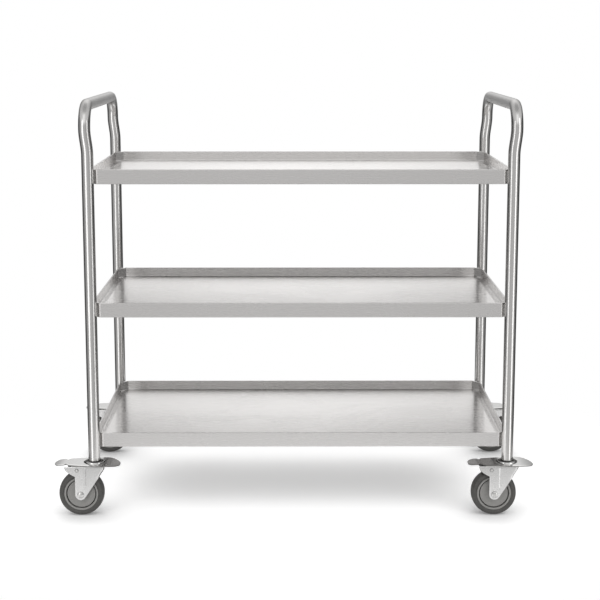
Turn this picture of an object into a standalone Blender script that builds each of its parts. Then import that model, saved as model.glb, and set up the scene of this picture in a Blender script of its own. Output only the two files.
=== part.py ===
"""Three-tray stainless cart on four braked swivel casters.

Lengths are in metres and +Z is up. The origin is on the floor under the middle of the cart,
+X runs along the long side and -Y is the front. Two bent tube hoops carry three folded sheet
trays, and each leg stands on a caster whose fork, wheel and brake pedal turn on their own axes.
"""

import math

import bmesh
import bpy
from mathutils import Matrix, Vector

# Clearances and meshing
FIT_GAP = 0.0003
RUNNING_GAP = 0.0006
MERGE_DISTANCE = 0.00001
CUT_OVERRUN = 0.004
TUBE_BEVEL_RESOLUTION = 6
BEND_STEPS = 5
OUTSET_STEPS = 3
WHEEL_STEPS = 28
SWIVEL_STEPS = 20
BUSH_STEPS = 12
HEXAGON_SIDES = 6
BOSS_STEPS = 6
SHOE_STEPS = 4
HEM_STEPS = 4
BEAD_STEPS = 3
CORNER_STEPS = 3
SHOULDER_STEPS = 2
SHARP_ANGLE_DEG = 35
BEAD_OPEN_DEG = 70

# Tube hoops
LEG_SPACING_X = 0.914
LEG_SPACING_Y = 0.480
TUBE_RADIUS = 0.013
TUBE_WALL = 0.0012
LEG_FOOT_LENGTH = 0.0299
HANDLE_RISE = 0.149
HANDLE_BEND_RADIUS = 0.050
HANDLE_OUTSET = 0.005
OUTSET_START_SHARE = 0.36

# Trays
TRAY_PITCH = 0.2915
TRAY_SHEET = 0.001
TRAY_BEND_RADIUS = 0.003
RIM_HEIGHT = 0.032
RIM_HOLLOW = 0.0018
RIM_RETURN = 0.007
FLOOR_ABOVE_FOOT = 0.0095

# Wheels
WHEEL_RADIUS = 0.050
TREAD_WIDTH = 0.032
TREAD_CROWN = 0.0012
SHOULDER_RADIUS = 0.005
TYRE_THICKNESS = 0.0125
RIM_SIDE_STEP = 0.0015
RIM_RING_WIDTH = 0.004
HUB_RECESS = 0.0025
HUB_WEB_STEP = 0.003
HUB_BOSS_WALL = 0.005
BUSH_WALL = 0.0035

# Axles
AXLE_RADIUS = 0.004
AXLE_HEAD_OVERHANG = 0.003
AXLE_HEAD_HEIGHT = 0.0032
AXLE_NUT_WALL = 0.0032
AXLE_NUT_HEIGHT = 0.004
AXLE_END_PROUD = 0.0012
# Pairs of radius and height of the domed head, from its middle out
AXLE_DOME_SHARES = ((0.0, 1.0), (0.6, 0.88), (1.0, 0.45), (1.0, 0.0))

# Swivels
KINGPIN_RADIUS = 0.006
KINGPIN_HEAD_OVERHANG = 0.0065
KINGPIN_HEAD_HEIGHT = 0.003
KINGPIN_TYRE_GAP = 0.0044
KINGPIN_PROUD = 0.008
BEARING_LIP = 0.003
BEARING_HEIGHT = 0.005
CAP_NECK_STEP = 0.0025
CAP_BEAD_STEP = 0.0055
CAP_HEIGHT = 0.0062
PLUG_GAP = 0.0005
PLUG_LENGTH = 0.040

# Forks
FORK_SHEET = 0.003
FORK_BEND_RADIUS = 0.002
WHEEL_SIDE_GAP = 0.004
CASTER_TRAIL = 0.029
FORK_LEAD_LIP = 0.0025
FORK_LEAD_CORNER_DROP = 0.009
FORK_TRAIL_LIP = 0.007
CROWN_PAST_PIVOT = 0.0125
EAR_DROP = 0.0045
EAR_HEIGHT = 0.020
AXLE_BOSS_MARGIN = 0.0047
SLOT_SIDE_GAP = 0.002
SLOT_END_GAP = 0.0023
# Pairs of place and height along the ear's lower edge, from the stem to the ear's tip
EAR_OUTLINE_SHARES = ((0.0, 0.0), (0.45, 0.25), (0.75, 0.50), (0.95, 0.78), (1.0, 1.0))

# Brake pedals
PIVOT_PAST_AXLE = 0.0075
PIVOT_PIN_RADIUS = 0.002
PIVOT_HEAD_OVERHANG = 0.001
PIVOT_HEAD_HEIGHT = 0.001
PIVOT_HEAD_TOP_SHARE = 0.8
LUG_WALL = 0.0025
LUG_TYRE_GAP = 0.0013
LUG_SIDE_STEP = 0.0005
LUG_SHOE_GAP = 0.0042
SHOE_LENGTH = 0.012
SHOE_SIDE_STEP = 0.0045
SHOE_TYRE_GAP = 0.0034
PEDAL_SHEET = 0.0018
PEDAL_CROWN_GAP = 0.0017
PEDAL_CAP_GAP = 0.0025
PEDAL_SIDE_MARGIN = 0.0115
PEDAL_TIP_OVERHANG = 0.0231
PEDAL_LEAD_OVERHANG = 0.034
PEDAL_TIP_DROP = 0.003
PEDAL_LEAD_DROP = 0.005
# Pairs of place along the reach and half-width, from the trailing tip to the leading end
PEDAL_OUTLINE_SHARES = (
    (1.00, 0.18),
    (0.975, 0.42),
    (0.92, 0.57),
    (0.84, 0.64),
    (0.75, 0.64),
    (0.715, 0.56),
    (0.69, 0.42),
    (0.665, 0.57),
    (0.63, 0.70),
    (0.45, 0.79),
    (0.20, 0.90),
    (0.00, 0.96),
    (-0.30, 1.00),
    (-0.52, 0.98),
    (-0.72, 0.85),
    (-0.87, 0.64),
    (-0.965, 0.38),
    (-1.00, 0.14),
)

# Corner name, side along X, side along Y, and the heading that its wheel trails towards
CASTERS = (
    ("front_left", -1, -1, math.pi),
    ("front_right", 1, -1, math.pi),
    ("rear_left", -1, 1, math.pi),
    ("rear_right", 1, 1, 0.0),
)
TRAY_NAMES = ("tray_bottom", "tray_middle", "tray_top")

# Wheel and axle sizes that follow from the ones above
BUSH_RADIUS = AXLE_RADIUS + BUSH_WALL
HUB_BOSS_RADIUS = BUSH_RADIUS + HUB_BOSS_WALL
TYRE_SEAT_RADIUS = WHEEL_RADIUS - TYRE_THICKNESS
RIM_FACE_WIDTH = TREAD_WIDTH - 2 * RIM_SIDE_STEP
HUB_WEB_WIDTH = RIM_FACE_WIDTH - 2 * HUB_WEB_STEP
AXLE_HEAD_RADIUS = AXLE_RADIUS + AXLE_HEAD_OVERHANG
AXLE_NUT_RADIUS = AXLE_RADIUS + AXLE_NUT_WALL
CHEEK_INNER = TREAD_WIDTH / 2 + WHEEL_SIDE_GAP
CHEEK_OUTER = CHEEK_INNER + FORK_SHEET
HUB_HALF_LENGTH = CHEEK_INNER - RUNNING_GAP

# Swivel heights and radii, from the wheel's top up to the leg's end
KINGPIN_HEAD_RADIUS = KINGPIN_RADIUS + KINGPIN_HEAD_OVERHANG
BEARING_RADIUS = KINGPIN_HEAD_RADIUS + BEARING_LIP
KINGPIN_FOOT_Z = 2 * WHEEL_RADIUS + KINGPIN_TYRE_GAP
KINGPIN_HEAD_TOP_Z = KINGPIN_FOOT_Z + KINGPIN_HEAD_HEIGHT
BEARING_BOTTOM_Z = KINGPIN_HEAD_TOP_Z + FIT_GAP
CROWN_UNDERSIDE_Z = BEARING_BOTTOM_Z + BEARING_HEIGHT + FIT_GAP
FORK_TOP_Z = CROWN_UNDERSIDE_Z + FORK_SHEET
CAP_NECK_RADIUS = TUBE_RADIUS + CAP_NECK_STEP
CAP_RADIUS = CAP_NECK_RADIUS + CAP_BEAD_STEP
CAP_BOTTOM_Z = FORK_TOP_Z + RUNNING_GAP
LEG_BOTTOM_Z = CAP_BOTTOM_Z + CAP_HEIGHT + FIT_GAP
TUBE_SIDES = 4 + 2 * TUBE_BEVEL_RESOLUTION
PLUG_RADIUS = (TUBE_RADIUS - TUBE_WALL) * math.cos(math.pi / TUBE_SIDES) - PLUG_GAP
KINGPIN_TOP_Z = LEG_BOTTOM_Z + PLUG_LENGTH + KINGPIN_PROUD

# Tray and hoop places
HALF_X = LEG_SPACING_X / 2
HALF_Y = LEG_SPACING_Y / 2
RIM_THICKNESS = 2 * TRAY_SHEET + RIM_HOLLOW
LOWEST_RIM_TOP_Z = LEG_BOTTOM_Z + LEG_FOOT_LENGTH + RIM_HEIGHT
TOP_RIM_Z = LOWEST_RIM_TOP_Z + TRAY_PITCH * (len(TRAY_NAMES) - 1)
HANDLE_AXIS_Z = TOP_RIM_Z + HANDLE_RISE - TUBE_RADIUS
BEND_START_Z = HANDLE_AXIS_Z - HANDLE_BEND_RADIUS
OUTSET_START_Z = TOP_RIM_Z + (BEND_START_Z - TOP_RIM_Z) * OUTSET_START_SHARE
CHAMFER_LEG = math.sqrt(2) * (TUBE_RADIUS + FIT_GAP)

# Pedal and fork places, measured from the swivel axis towards the trailing side
PIVOT_HEAD_RADIUS = PIVOT_PIN_RADIUS + PIVOT_HEAD_OVERHANG
LUG_RADIUS = PIVOT_PIN_RADIUS + LUG_WALL
PIVOT_TRAIL = CASTER_TRAIL + PIVOT_PAST_AXLE
PIVOT_Z = 2 * WHEEL_RADIUS + LUG_TYRE_GAP + LUG_RADIUS
SHOE_WIDTH = TREAD_WIDTH - 2 * SHOE_SIDE_STEP
LUG_WIDTH = SHOE_WIDTH - 2 * LUG_SIDE_STEP
SLOT_WIDTH = SHOE_WIDTH + 2 * SLOT_SIDE_GAP
SLOT_START = PIVOT_TRAIL - LUG_RADIUS - SLOT_END_GAP
SHOE_START = PIVOT_TRAIL + LUG_RADIUS + LUG_SHOE_GAP
SHOE_END = SHOE_START + SHOE_LENGTH
CROWN_END = PIVOT_TRAIL + CROWN_PAST_PIVOT
FORK_TRAIL_REACH = SHOE_END + FORK_TRAIL_LIP
FORK_LEAD_REACH = CAP_RADIUS + FORK_LEAD_LIP
FORK_SHOULDER_RADIUS = FORK_SHEET + FORK_BEND_RADIUS
AXLE_BOSS_RADIUS = AXLE_HEAD_RADIUS + AXLE_BOSS_MARGIN
PEDAL_UNDERSIDE_Z = FORK_TOP_Z + PEDAL_CROWN_GAP
PEDAL_HOLE_RADIUS = CAP_RADIUS + PEDAL_CAP_GAP
PEDAL_HALF_WIDTH = PEDAL_HOLE_RADIUS + PEDAL_SIDE_MARGIN
PEDAL_TIP_REACH = FORK_TRAIL_REACH + PEDAL_TIP_OVERHANG
PEDAL_LEAD_REACH = FORK_LEAD_REACH + PEDAL_LEAD_OVERHANG

# Colour, metallic and roughness of each finish
FINISHES = {
    "stainless_tube": ((0.62, 0.61, 0.59), 1.0, 0.28),
    "stainless_sheet": ((0.66, 0.65, 0.63), 1.0, 0.34),
    "pressed_steel": ((0.62, 0.62, 0.61), 1.0, 0.38),
    "polished_steel": ((0.72, 0.72, 0.71), 1.0, 0.12),
    "turned_steel": ((0.55, 0.55, 0.54), 1.0, 0.30),
    "tyre_rubber": ((0.085, 0.083, 0.078), 0.0, 0.62),
    "shoe_rubber": ((0.05, 0.05, 0.05), 0.0, 0.70),
    "hub_plastic": ((0.27, 0.268, 0.26), 0.0, 0.48),
    "bush_plastic": ((0.60, 0.58, 0.52), 0.0, 0.50),
}


def empty_scene():
    """Remove every object, so that the script always starts from nothing."""
    for item in list(bpy.data.objects):
        bpy.data.objects.remove(item)


def new_collection(name):
    """Make a collection in the scene and return it."""
    found = bpy.data.collections.new(name)
    bpy.context.scene.collection.children.link(found)
    return found


def finish(name):
    """Return the Principled material of that name, made on first use."""
    material = bpy.data.materials.get(name)
    if material:
        return material
    colour, metallic, roughness = FINISHES[name]
    material = bpy.data.materials.new(name)
    material.use_nodes = True
    shader = material.node_tree.nodes["Principled BSDF"]
    shader.inputs["Base Color"].default_value = (*colour, 1.0)
    shader.inputs["Metallic"].default_value = metallic
    shader.inputs["Roughness"].default_value = roughness
    material.diffuse_color = (*colour, 1.0)
    return material


def linked(name, data, collection):
    """Make an object of that data in a collection."""
    made = bpy.data.objects.new(name, data)
    collection.objects.link(made)
    return made


def empty_at(name, place, heading, parent, collection):
    """Make an empty that marks a joint axis, turned about Z by its heading."""
    made = linked(name, None, collection)
    made.location = place
    made.rotation_euler = (0.0, 0.0, heading)
    made.parent = parent
    made.empty_display_size = WHEEL_RADIUS
    return made


def place_piece(name, mesh, finish_name, parent, collection):
    """Make a finished piece of a mesh that is drawn in its parent's frame."""
    made = linked(name, mesh.copy(), collection)
    made.data.name = name
    made.parent = parent
    made.data.materials.clear()
    made.data.materials.append(finish(finish_name))
    made.data.shade_smooth()
    made.data.set_sharp_from_angle(angle=math.radians(SHARP_ANGLE_DEG))
    return made


def mesh_of(item):
    """Bake an object's curve and modifiers into one mesh and remove the object."""
    bpy.context.view_layer.update()
    seen = item.evaluated_get(bpy.context.evaluated_depsgraph_get())
    mesh = bpy.data.meshes.new_from_object(seen)
    mesh.transform(item.matrix_world)
    bpy.data.objects.remove(item)
    weld = bmesh.new()
    weld.from_mesh(mesh)
    bmesh.ops.remove_doubles(weld, verts=weld.verts, dist=MERGE_DISTANCE)
    weld.to_mesh(mesh)
    weld.free()
    return mesh


def mesh_from(shape, name):
    """Turn a bmesh into a mesh and free it."""
    mesh = bpy.data.meshes.new(name)
    shape.to_mesh(mesh)
    shape.free()
    return mesh


def bore_radius(shaft_radius, gap, steps):
    """Return the corner radius of a faceted bore whose flats keep the gap to the shaft."""
    return (shaft_radius + gap) / math.cos(math.pi / steps)


def turned(name, outline, steps, closed, collection):
    """Turn an outline of radius and height pairs about Z and return the mesh.

    The outline runs down its outer side. A closed outline goes on up its inner side.
    """
    shape = bmesh.new()
    corners = [shape.verts.new((radius, 0.0, height)) for radius, height in outline]
    for first, second in zip(corners, corners[1:]):
        shape.edges.new((first, second))
    if closed:
        shape.edges.new((corners[-1], corners[0]))
    item = linked(name, mesh_from(shape, name), collection)
    screw = item.modifiers.new("turn", "SCREW")
    screw.axis = "Z"
    screw.steps = steps
    screw.render_steps = steps
    screw.use_merge_vertices = True
    screw.merge_threshold = MERGE_DISTANCE
    return mesh_of(item)


def ring_mesh(name, radius, bore, bottom, height, collection):
    """Turn a plain ring."""
    top = bottom + height
    outline = [(radius, top), (radius, bottom), (bore, bottom), (bore, top)]
    return turned(name, outline, BUSH_STEPS, True, collection)


def filled_outlines(name, outlines, thickness, collection):
    """Extrude closed outlines in XY, half the thickness each way; an inner one is a hole."""
    curve = bpy.data.curves.new(name, "CURVE")
    curve.dimensions = "2D"
    curve.fill_mode = "BOTH"
    curve.extrude = thickness / 2
    for points in outlines:
        spline = curve.splines.new("POLY")
        spline.points.add(len(points) - 1)
        for target, (across, along) in zip(spline.points, points):
            target.co = (across, along, 0.0, 1.0)
        spline.use_cyclic_u = True
    return mesh_of(linked(name, curve, collection))


def upright(mesh):
    """Stand a flat outline up, so that its second axis is Z and its thickness runs along Y."""
    mesh.transform(Matrix.Rotation(math.pi / 2, 4, "X"))
    return mesh


def arc(centre, radius, start_deg, end_deg, steps):
    """Return points along an arc, both ends included."""
    angles = [
        math.radians(start_deg + (end_deg - start_deg) * step / steps) for step in range(steps + 1)
    ]
    return [
        (centre[0] + radius * math.cos(angle), centre[1] + radius * math.sin(angle))
        for angle in angles
    ]


def polygon(radius, sides):
    """Return the corners of a regular polygon about the origin."""
    return arc((0.0, 0.0), radius, 0, 360, sides)[:-1]


def cylinder_cutter(name, radius, length, place, along_y, steps, cutters):
    """Make a cylinder cutter along Z, or along Y, in the cutters' collection."""
    shape = bmesh.new()
    bmesh.ops.create_cone(
        shape, cap_ends=True, segments=steps, radius1=radius, radius2=radius, depth=length
    )
    if along_y:
        bmesh.ops.rotate(shape, verts=shape.verts, matrix=Matrix.Rotation(math.pi / 2, 3, "X"))
    return as_cutter(name, mesh_from(shape, name), place, cutters)


def box_cutter(name, size, place, cutters):
    """Make a box cutter of that size, centred at that place."""
    shape = bmesh.new()
    bmesh.ops.create_cube(shape, size=1.0)
    bmesh.ops.scale(shape, verts=shape.verts, vec=Vector(size))
    return as_cutter(name, mesh_from(shape, name), place, cutters)


def as_cutter(name, mesh, place, cutters):
    """Put a mesh in the cutters' collection, hidden from renders."""
    made = linked(name, mesh, cutters)
    made.location = place
    made.hide_render = True
    made.display_type = "WIRE"
    return made


def boolean(item, operation, cutter):
    """Add one Boolean modifier to an object."""
    step = item.modifiers.new(cutter.name, "BOOLEAN")
    step.operation = operation
    step.object = cutter
    step.solver = "EXACT"


def hoop_path():
    """Return the centre line of one hoop in the YZ plane, with its outset as the third value.

    The legs rise straight, ease outwards by the handle's outset and turn over into the handle.
    The ease is a smooth step: 3 s squared minus 2 s cubed.
    """
    leg = [(-HALF_Y, LEG_BOTTOM_Z, 0.0)]
    for step in range(OUTSET_STEPS):
        share = step / OUTSET_STEPS
        ease = share * share * (3 - 2 * share)
        height = OUTSET_START_Z + (BEND_START_Z - OUTSET_START_Z) * share
        leg.append((-HALF_Y, height, HANDLE_OUTSET * ease))
    bend_centre = (-HALF_Y + HANDLE_BEND_RADIUS, BEND_START_Z)
    bend = arc(bend_centre, HANDLE_BEND_RADIUS, 180, 90, BEND_STEPS)
    front = leg + [(along, height, HANDLE_OUTSET) for along, height in bend]
    back = [(-along, height, outset) for along, height, outset in reversed(front)]
    return front + back


def build_hoop(name, side, cart):
    """Make one bent tube hoop: a front leg, the handle and a rear leg, hollow and open below."""
    curve = bpy.data.curves.new(name, "CURVE")
    curve.dimensions = "3D"
    curve.bevel_depth = TUBE_RADIUS - TUBE_WALL / 2
    curve.bevel_resolution = TUBE_BEVEL_RESOLUTION
    curve.use_fill_caps = False
    spline = curve.splines.new("POLY")
    path = hoop_path()
    spline.points.add(len(path) - 1)
    for target, (along, height, outset) in zip(spline.points, path):
        target.co = (side * (HALF_X + outset), along, height, 1.0)
    mesh = mesh_of(linked(name, curve, cart))
    hoop = place_piece(name, mesh, "stainless_tube", None, cart)
    wall = hoop.modifiers.new("wall", "SOLIDIFY")
    wall.thickness = TUBE_WALL
    wall.offset = 0.0


def tray_ring(inset, height):
    """Return the eight corners of the tray's outline, drawn in by the inset, at one height.

    The outline is a rectangle with cut corners. Every side, cut corners too, moves in by the
    same distance, so the cut's leg shrinks by the inset times two minus the root of two.
    """
    reach_x = HALF_X - inset
    reach_y = HALF_Y - inset
    cut = CHAMFER_LEG - inset * (2 - math.sqrt(2))
    quarter = ((reach_x, reach_y - cut), (reach_x - cut, reach_y))
    ring = []
    for sign_x, sign_y in ((1, 1), (-1, 1), (-1, -1), (1, -1)):
        pair = quarter if sign_x == sign_y else quarter[::-1]
        ring += [Vector((sign_x * x, sign_y * y, height)) for x, y in pair]
    return ring


def tray_profile(rim_top):
    """Return pairs of inset and height from the tray's floor out over the rim to its return."""
    middle = TRAY_SHEET / 2
    foot = rim_top - RIM_HEIGHT
    floor = foot + FLOOR_ABOVE_FOOT - middle
    bend_radius = TRAY_BEND_RADIUS + middle
    hem_radius = RIM_HOLLOW / 2 + middle
    bend_centre = (RIM_THICKNESS - middle + bend_radius, floor + bend_radius)
    hem_centre = (RIM_THICKNESS / 2, rim_top - middle - hem_radius)
    profile = arc(bend_centre, bend_radius, 270, 180, CORNER_STEPS)
    profile += arc(hem_centre, hem_radius, 0, 180, HEM_STEPS)
    profile += [(middle, foot + middle), (middle + RIM_RETURN, foot + middle)]
    return profile


def build_tray(name, rim_top, cart):
    """Fold one tray from sheet: a sunk floor, a double rim with a round top, and a lower return."""
    profile = tray_profile(rim_top)
    shape = bmesh.new()
    ring = [shape.verts.new(corner) for corner in tray_ring(*profile[0])]
    shape.faces.new(ring)
    edges = list(shape.edges)
    for inset, height in profile[1:]:
        grown = bmesh.ops.extrude_edge_only(shape, edges=edges)["geom"]
        edges = [item for item in grown if isinstance(item, bmesh.types.BMEdge)]
        fresh = [item for item in grown if isinstance(item, bmesh.types.BMVert)]
        targets = tray_ring(inset, height)
        for corner in fresh:
            corner.co = min(targets, key=lambda spot: (spot - corner.co).length)
    bmesh.ops.recalc_face_normals(shape, faces=shape.faces)
    tray = place_piece(name, mesh_from(shape, name), "stainless_sheet", None, cart)
    sheet = tray.modifiers.new("sheet", "SOLIDIFY")
    sheet.thickness = TRAY_SHEET
    sheet.offset = 0.0
    sheet.use_even_offset = True


def wheel_frame(mesh):
    """Turn a mesh drawn about Z so that it spins about Y and rests on a flat facet.

    The radii grow by one over the cosine of half a step, so that the facets touch the circle.
    """
    half_step = math.pi / WHEEL_STEPS
    growth = 1 / math.cos(half_step)
    mesh.transform(Matrix.Diagonal((growth, growth, 1, 1)))
    mesh.transform(Matrix.Rotation(half_step, 4, "Z"))
    mesh.transform(Matrix.Rotation(math.pi / 2, 4, "X"))
    return mesh


def tyre_mesh(cart):
    """Turn the tyre: a slightly crowned tread with round shoulders on a flat seat."""
    half = TREAD_WIDTH / 2
    inner = TYRE_SEAT_RADIUS + FIT_GAP
    side = WHEEL_RADIUS - TREAD_CROWN - SHOULDER_RADIUS
    upper = arc((side, half - SHOULDER_RADIUS), SHOULDER_RADIUS, 90, 0, SHOULDER_STEPS)
    outer = upper + [(WHEEL_RADIUS, 0.0)]
    outer += [(radius, -height) for radius, height in reversed(upper)]
    outline = [(inner, RIM_FACE_WIDTH / 2)] + outer + [(inner, -RIM_FACE_WIDTH / 2)]
    return wheel_frame(turned("tyre", outline, WHEEL_STEPS, True, cart))


def hub_mesh(cart):
    """Turn the hub: a rim ring, a groove, a sunk web and a long boss with a bore."""
    rim_half = RIM_FACE_WIDTH / 2
    ring_inner = TYRE_SEAT_RADIUS - RIM_RING_WIDTH
    web_half = HUB_WEB_WIDTH / 2
    bore = BUSH_RADIUS + FIT_GAP
    top = [
        (bore, HUB_HALF_LENGTH),
        (HUB_BOSS_RADIUS, HUB_HALF_LENGTH),
        (HUB_BOSS_RADIUS, web_half),
        (ring_inner - HUB_RECESS, web_half),
        (ring_inner, web_half - HUB_RECESS),
        (ring_inner, rim_half),
        (TYRE_SEAT_RADIUS, rim_half),
    ]
    bottom = [(radius, -height) for radius, height in reversed(top)]
    return wheel_frame(turned("hub", top + bottom, WHEEL_STEPS, True, cart))


def bush_mesh(cart):
    """Turn the plain bush that the hub runs on."""
    bore = bore_radius(AXLE_RADIUS, FIT_GAP, BUSH_STEPS)
    length = 2 * HUB_HALF_LENGTH
    return wheel_frame(
        ring_mesh("wheel_bush", BUSH_RADIUS, bore, -HUB_HALF_LENGTH, length, cart)
    )


def at_axle(mesh):
    """Move a mesh drawn about its own middle to the axle's place in the caster."""
    mesh.transform(Matrix.Translation((CASTER_TRAIL, 0.0, WHEEL_RADIUS)))
    return mesh


def axle_mesh(cart):
    """Turn the axle bolt, with its domed head outside the near cheek."""
    seat = CHEEK_OUTER + FIT_GAP
    end = -seat - AXLE_NUT_HEIGHT - AXLE_END_PROUD
    outline = [
        (AXLE_HEAD_RADIUS * radius, seat + AXLE_HEAD_HEIGHT * height)
        for radius, height in AXLE_DOME_SHARES
    ]
    outline += [(AXLE_RADIUS, seat), (AXLE_RADIUS, end), (0.0, end)]
    mesh = turned("axle", outline, BUSH_STEPS, False, cart)
    mesh.transform(Matrix.Rotation(-math.pi / 2, 4, "X"))
    return at_axle(mesh)


def axle_nut_mesh(cart):
    """Cut the hexagonal axle nut from a flat outline with its bore."""
    bore = bore_radius(AXLE_RADIUS, FIT_GAP, BUSH_STEPS)
    outlines = [polygon(AXLE_NUT_RADIUS, HEXAGON_SIDES), polygon(bore, BUSH_STEPS)]
    mesh = upright(filled_outlines("axle_nut", outlines, AXLE_NUT_HEIGHT, cart))
    middle = CHEEK_OUTER + FIT_GAP + AXLE_NUT_HEIGHT / 2
    mesh.transform(Matrix.Translation((0.0, -middle, 0.0)))
    return at_axle(mesh)


def fork_side_outline():
    """Return the fork's side outline in X and Z, with +X the way that the wheel trails.

    The leading edge runs straight from the crown's corner to touch the round axle boss. The
    trailing edge rises from the boss to the ear, whose top lies below the crown, so that the
    pedal can tip down over it.
    """
    above = FORK_TOP_Z + CUT_OVERRUN
    corner = (-FORK_LEAD_REACH, FORK_TOP_Z - FORK_LEAD_CORNER_DROP)
    to_corner = (corner[0] - CASTER_TRAIL, corner[1] - WHEEL_RADIUS)
    bearing = math.degrees(math.atan2(to_corner[1], to_corner[0]))
    touch = bearing + math.degrees(math.acos(AXLE_BOSS_RADIUS / math.hypot(*to_corner)))
    boss = arc((CASTER_TRAIL, WHEEL_RADIUS), AXLE_BOSS_RADIUS, touch, 360, BOSS_STEPS)
    stem_edge = CASTER_TRAIL + AXLE_BOSS_RADIUS
    ear_top = FORK_TOP_Z - EAR_DROP
    ear_span = FORK_TRAIL_REACH - stem_edge
    ear = [
        (stem_edge + ear_span * place, ear_top - EAR_HEIGHT * (1 - height))
        for place, height in EAR_OUTLINE_SHARES
    ]
    return [(-FORK_LEAD_REACH, above), corner, *boss, *ear, (CROWN_END, ear_top), (CROWN_END, above)]


def folded_channel(cart):
    """Return an inverted channel with round shoulders that runs along X, as a thick sheet."""
    low = WHEEL_RADIUS - AXLE_BOSS_RADIUS - CUT_OVERRUN
    spring = (CHEEK_OUTER - FORK_SHOULDER_RADIUS, FORK_TOP_Z - FORK_SHOULDER_RADIUS)
    right = [(CHEEK_OUTER, low)] + arc(spring, FORK_SHOULDER_RADIUS, 0, 90, SHOULDER_STEPS)
    section = right + [(-across, height) for across, height in reversed(right)]
    shape = bmesh.new()
    rows = [
        [shape.verts.new((along, across, height)) for across, height in section]
        for along in (-FORK_LEAD_REACH - CUT_OVERRUN, FORK_TRAIL_REACH + CUT_OVERRUN)
    ]
    for step in range(len(section) - 1):
        shape.faces.new((rows[0][step], rows[0][step + 1], rows[1][step + 1], rows[1][step]))
    item = linked("channel", mesh_from(shape, "channel"), cart)
    wall = item.modifiers.new("wall", "SOLIDIFY")
    wall.thickness = FORK_SHEET
    wall.offset = -1.0
    wall.use_even_offset = True
    return mesh_of(item)


def fork_mesh(cart, cutters):
    """Cut the fork from a folded channel: its side outline, slot and holes."""
    item = linked("fork", folded_channel(cart), cart)
    depth = 2 * (CHEEK_OUTER + CUT_OVERRUN)
    side = upright(filled_outlines("fork_side", [fork_side_outline()], depth, cart))
    boolean(item, "INTERSECT", as_cutter("fork_side_cutter", side, (0.0, 0.0, 0.0), cutters))
    slot_length = CROWN_END - SLOT_START + CUT_OVERRUN
    through = FORK_SHEET + 2 * CUT_OVERRUN
    crown_middle = CROWN_UNDERSIDE_Z + FORK_SHEET / 2
    slot = box_cutter(
        "fork_slot_cutter",
        (slot_length, SLOT_WIDTH, through),
        (SLOT_START + slot_length / 2, 0.0, crown_middle),
        cutters,
    )
    boolean(item, "DIFFERENCE", slot)
    pin_bore = bore_radius(KINGPIN_RADIUS, RUNNING_GAP, SWIVEL_STEPS)
    pin_place = (0.0, 0.0, crown_middle)
    pin_hole = cylinder_cutter(
        "fork_kingpin_cutter", pin_bore, through, pin_place, False, SWIVEL_STEPS, cutters
    )
    boolean(item, "DIFFERENCE", pin_hole)
    for name, shaft, place in (
        ("fork_axle_cutter", AXLE_RADIUS, (CASTER_TRAIL, 0.0, WHEEL_RADIUS)),
        ("fork_pivot_cutter", PIVOT_PIN_RADIUS, (PIVOT_TRAIL, 0.0, PIVOT_Z)),
    ):
        bore = bore_radius(shaft, FIT_GAP, BUSH_STEPS)
        hole = cylinder_cutter(name, bore, depth, place, True, BUSH_STEPS, cutters)
        boolean(item, "DIFFERENCE", hole)
    return mesh_of(item)


def kingpin_mesh(cart):
    """Turn the kingpin: a head under the bearing and a shank that rises into the leg."""
    outline = [
        (0.0, KINGPIN_TOP_Z),
        (KINGPIN_RADIUS, KINGPIN_TOP_Z),
        (KINGPIN_RADIUS, KINGPIN_HEAD_TOP_Z),
        (KINGPIN_HEAD_RADIUS, KINGPIN_HEAD_TOP_Z),
        (KINGPIN_HEAD_RADIUS, KINGPIN_FOOT_Z),
        (0.0, KINGPIN_FOOT_Z),
    ]
    return turned("kingpin", outline, BUSH_STEPS, False, cart)


def plug_mesh(cart):
    """Turn the plug that fills the leg's end round the kingpin."""
    bore = bore_radius(KINGPIN_RADIUS, FIT_GAP, BUSH_STEPS)
    return ring_mesh("tube_plug", PLUG_RADIUS, bore, LEG_BOTTOM_Z, PLUG_LENGTH, cart)


def bearing_mesh(cart):
    """Turn the swivel bearing's ring, between the kingpin's head and the crown."""
    bore = bore_radius(KINGPIN_RADIUS, RUNNING_GAP, BUSH_STEPS)
    return ring_mesh("bearing", BEARING_RADIUS, bore, BEARING_BOTTOM_Z, BEARING_HEIGHT, cart)


def swivel_cap_mesh(cart):
    """Turn the swivel's cap: a round bead under the leg's end that covers the upper race."""
    bore = bore_radius(KINGPIN_RADIUS, FIT_GAP, SWIVEL_STEPS)
    bead = CAP_HEIGHT / 2
    top = CAP_BOTTOM_Z + CAP_HEIGHT
    bead_centre = (CAP_RADIUS - bead, CAP_BOTTOM_Z + bead)
    outline = [(CAP_NECK_RADIUS, top)]
    outline += arc(bead_centre, bead, BEAD_OPEN_DEG, -BEAD_OPEN_DEG, BEAD_STEPS)
    outline += [(CAP_NECK_RADIUS, CAP_BOTTOM_Z), (bore, CAP_BOTTOM_Z), (bore, top)]
    return turned("swivel_cap", outline, SWIVEL_STEPS, True, cart)


def pivot_pin_mesh(cart):
    """Turn the pedal's pin, with a rivet head outside each cheek."""
    seat = CHEEK_OUTER + FIT_GAP
    end = seat + PIVOT_HEAD_HEIGHT
    upper = [
        (0.0, end),
        (PIVOT_HEAD_RADIUS * PIVOT_HEAD_TOP_SHARE, end),
        (PIVOT_HEAD_RADIUS, seat),
        (PIVOT_PIN_RADIUS, seat),
    ]
    outline = upper + [(radius, -height) for radius, height in reversed(upper)]
    mesh = upright(turned("pedal_pin", outline, BUSH_STEPS, False, cart))
    mesh.transform(Matrix.Translation((PIVOT_TRAIL, 0.0, PIVOT_Z)))
    return mesh


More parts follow.
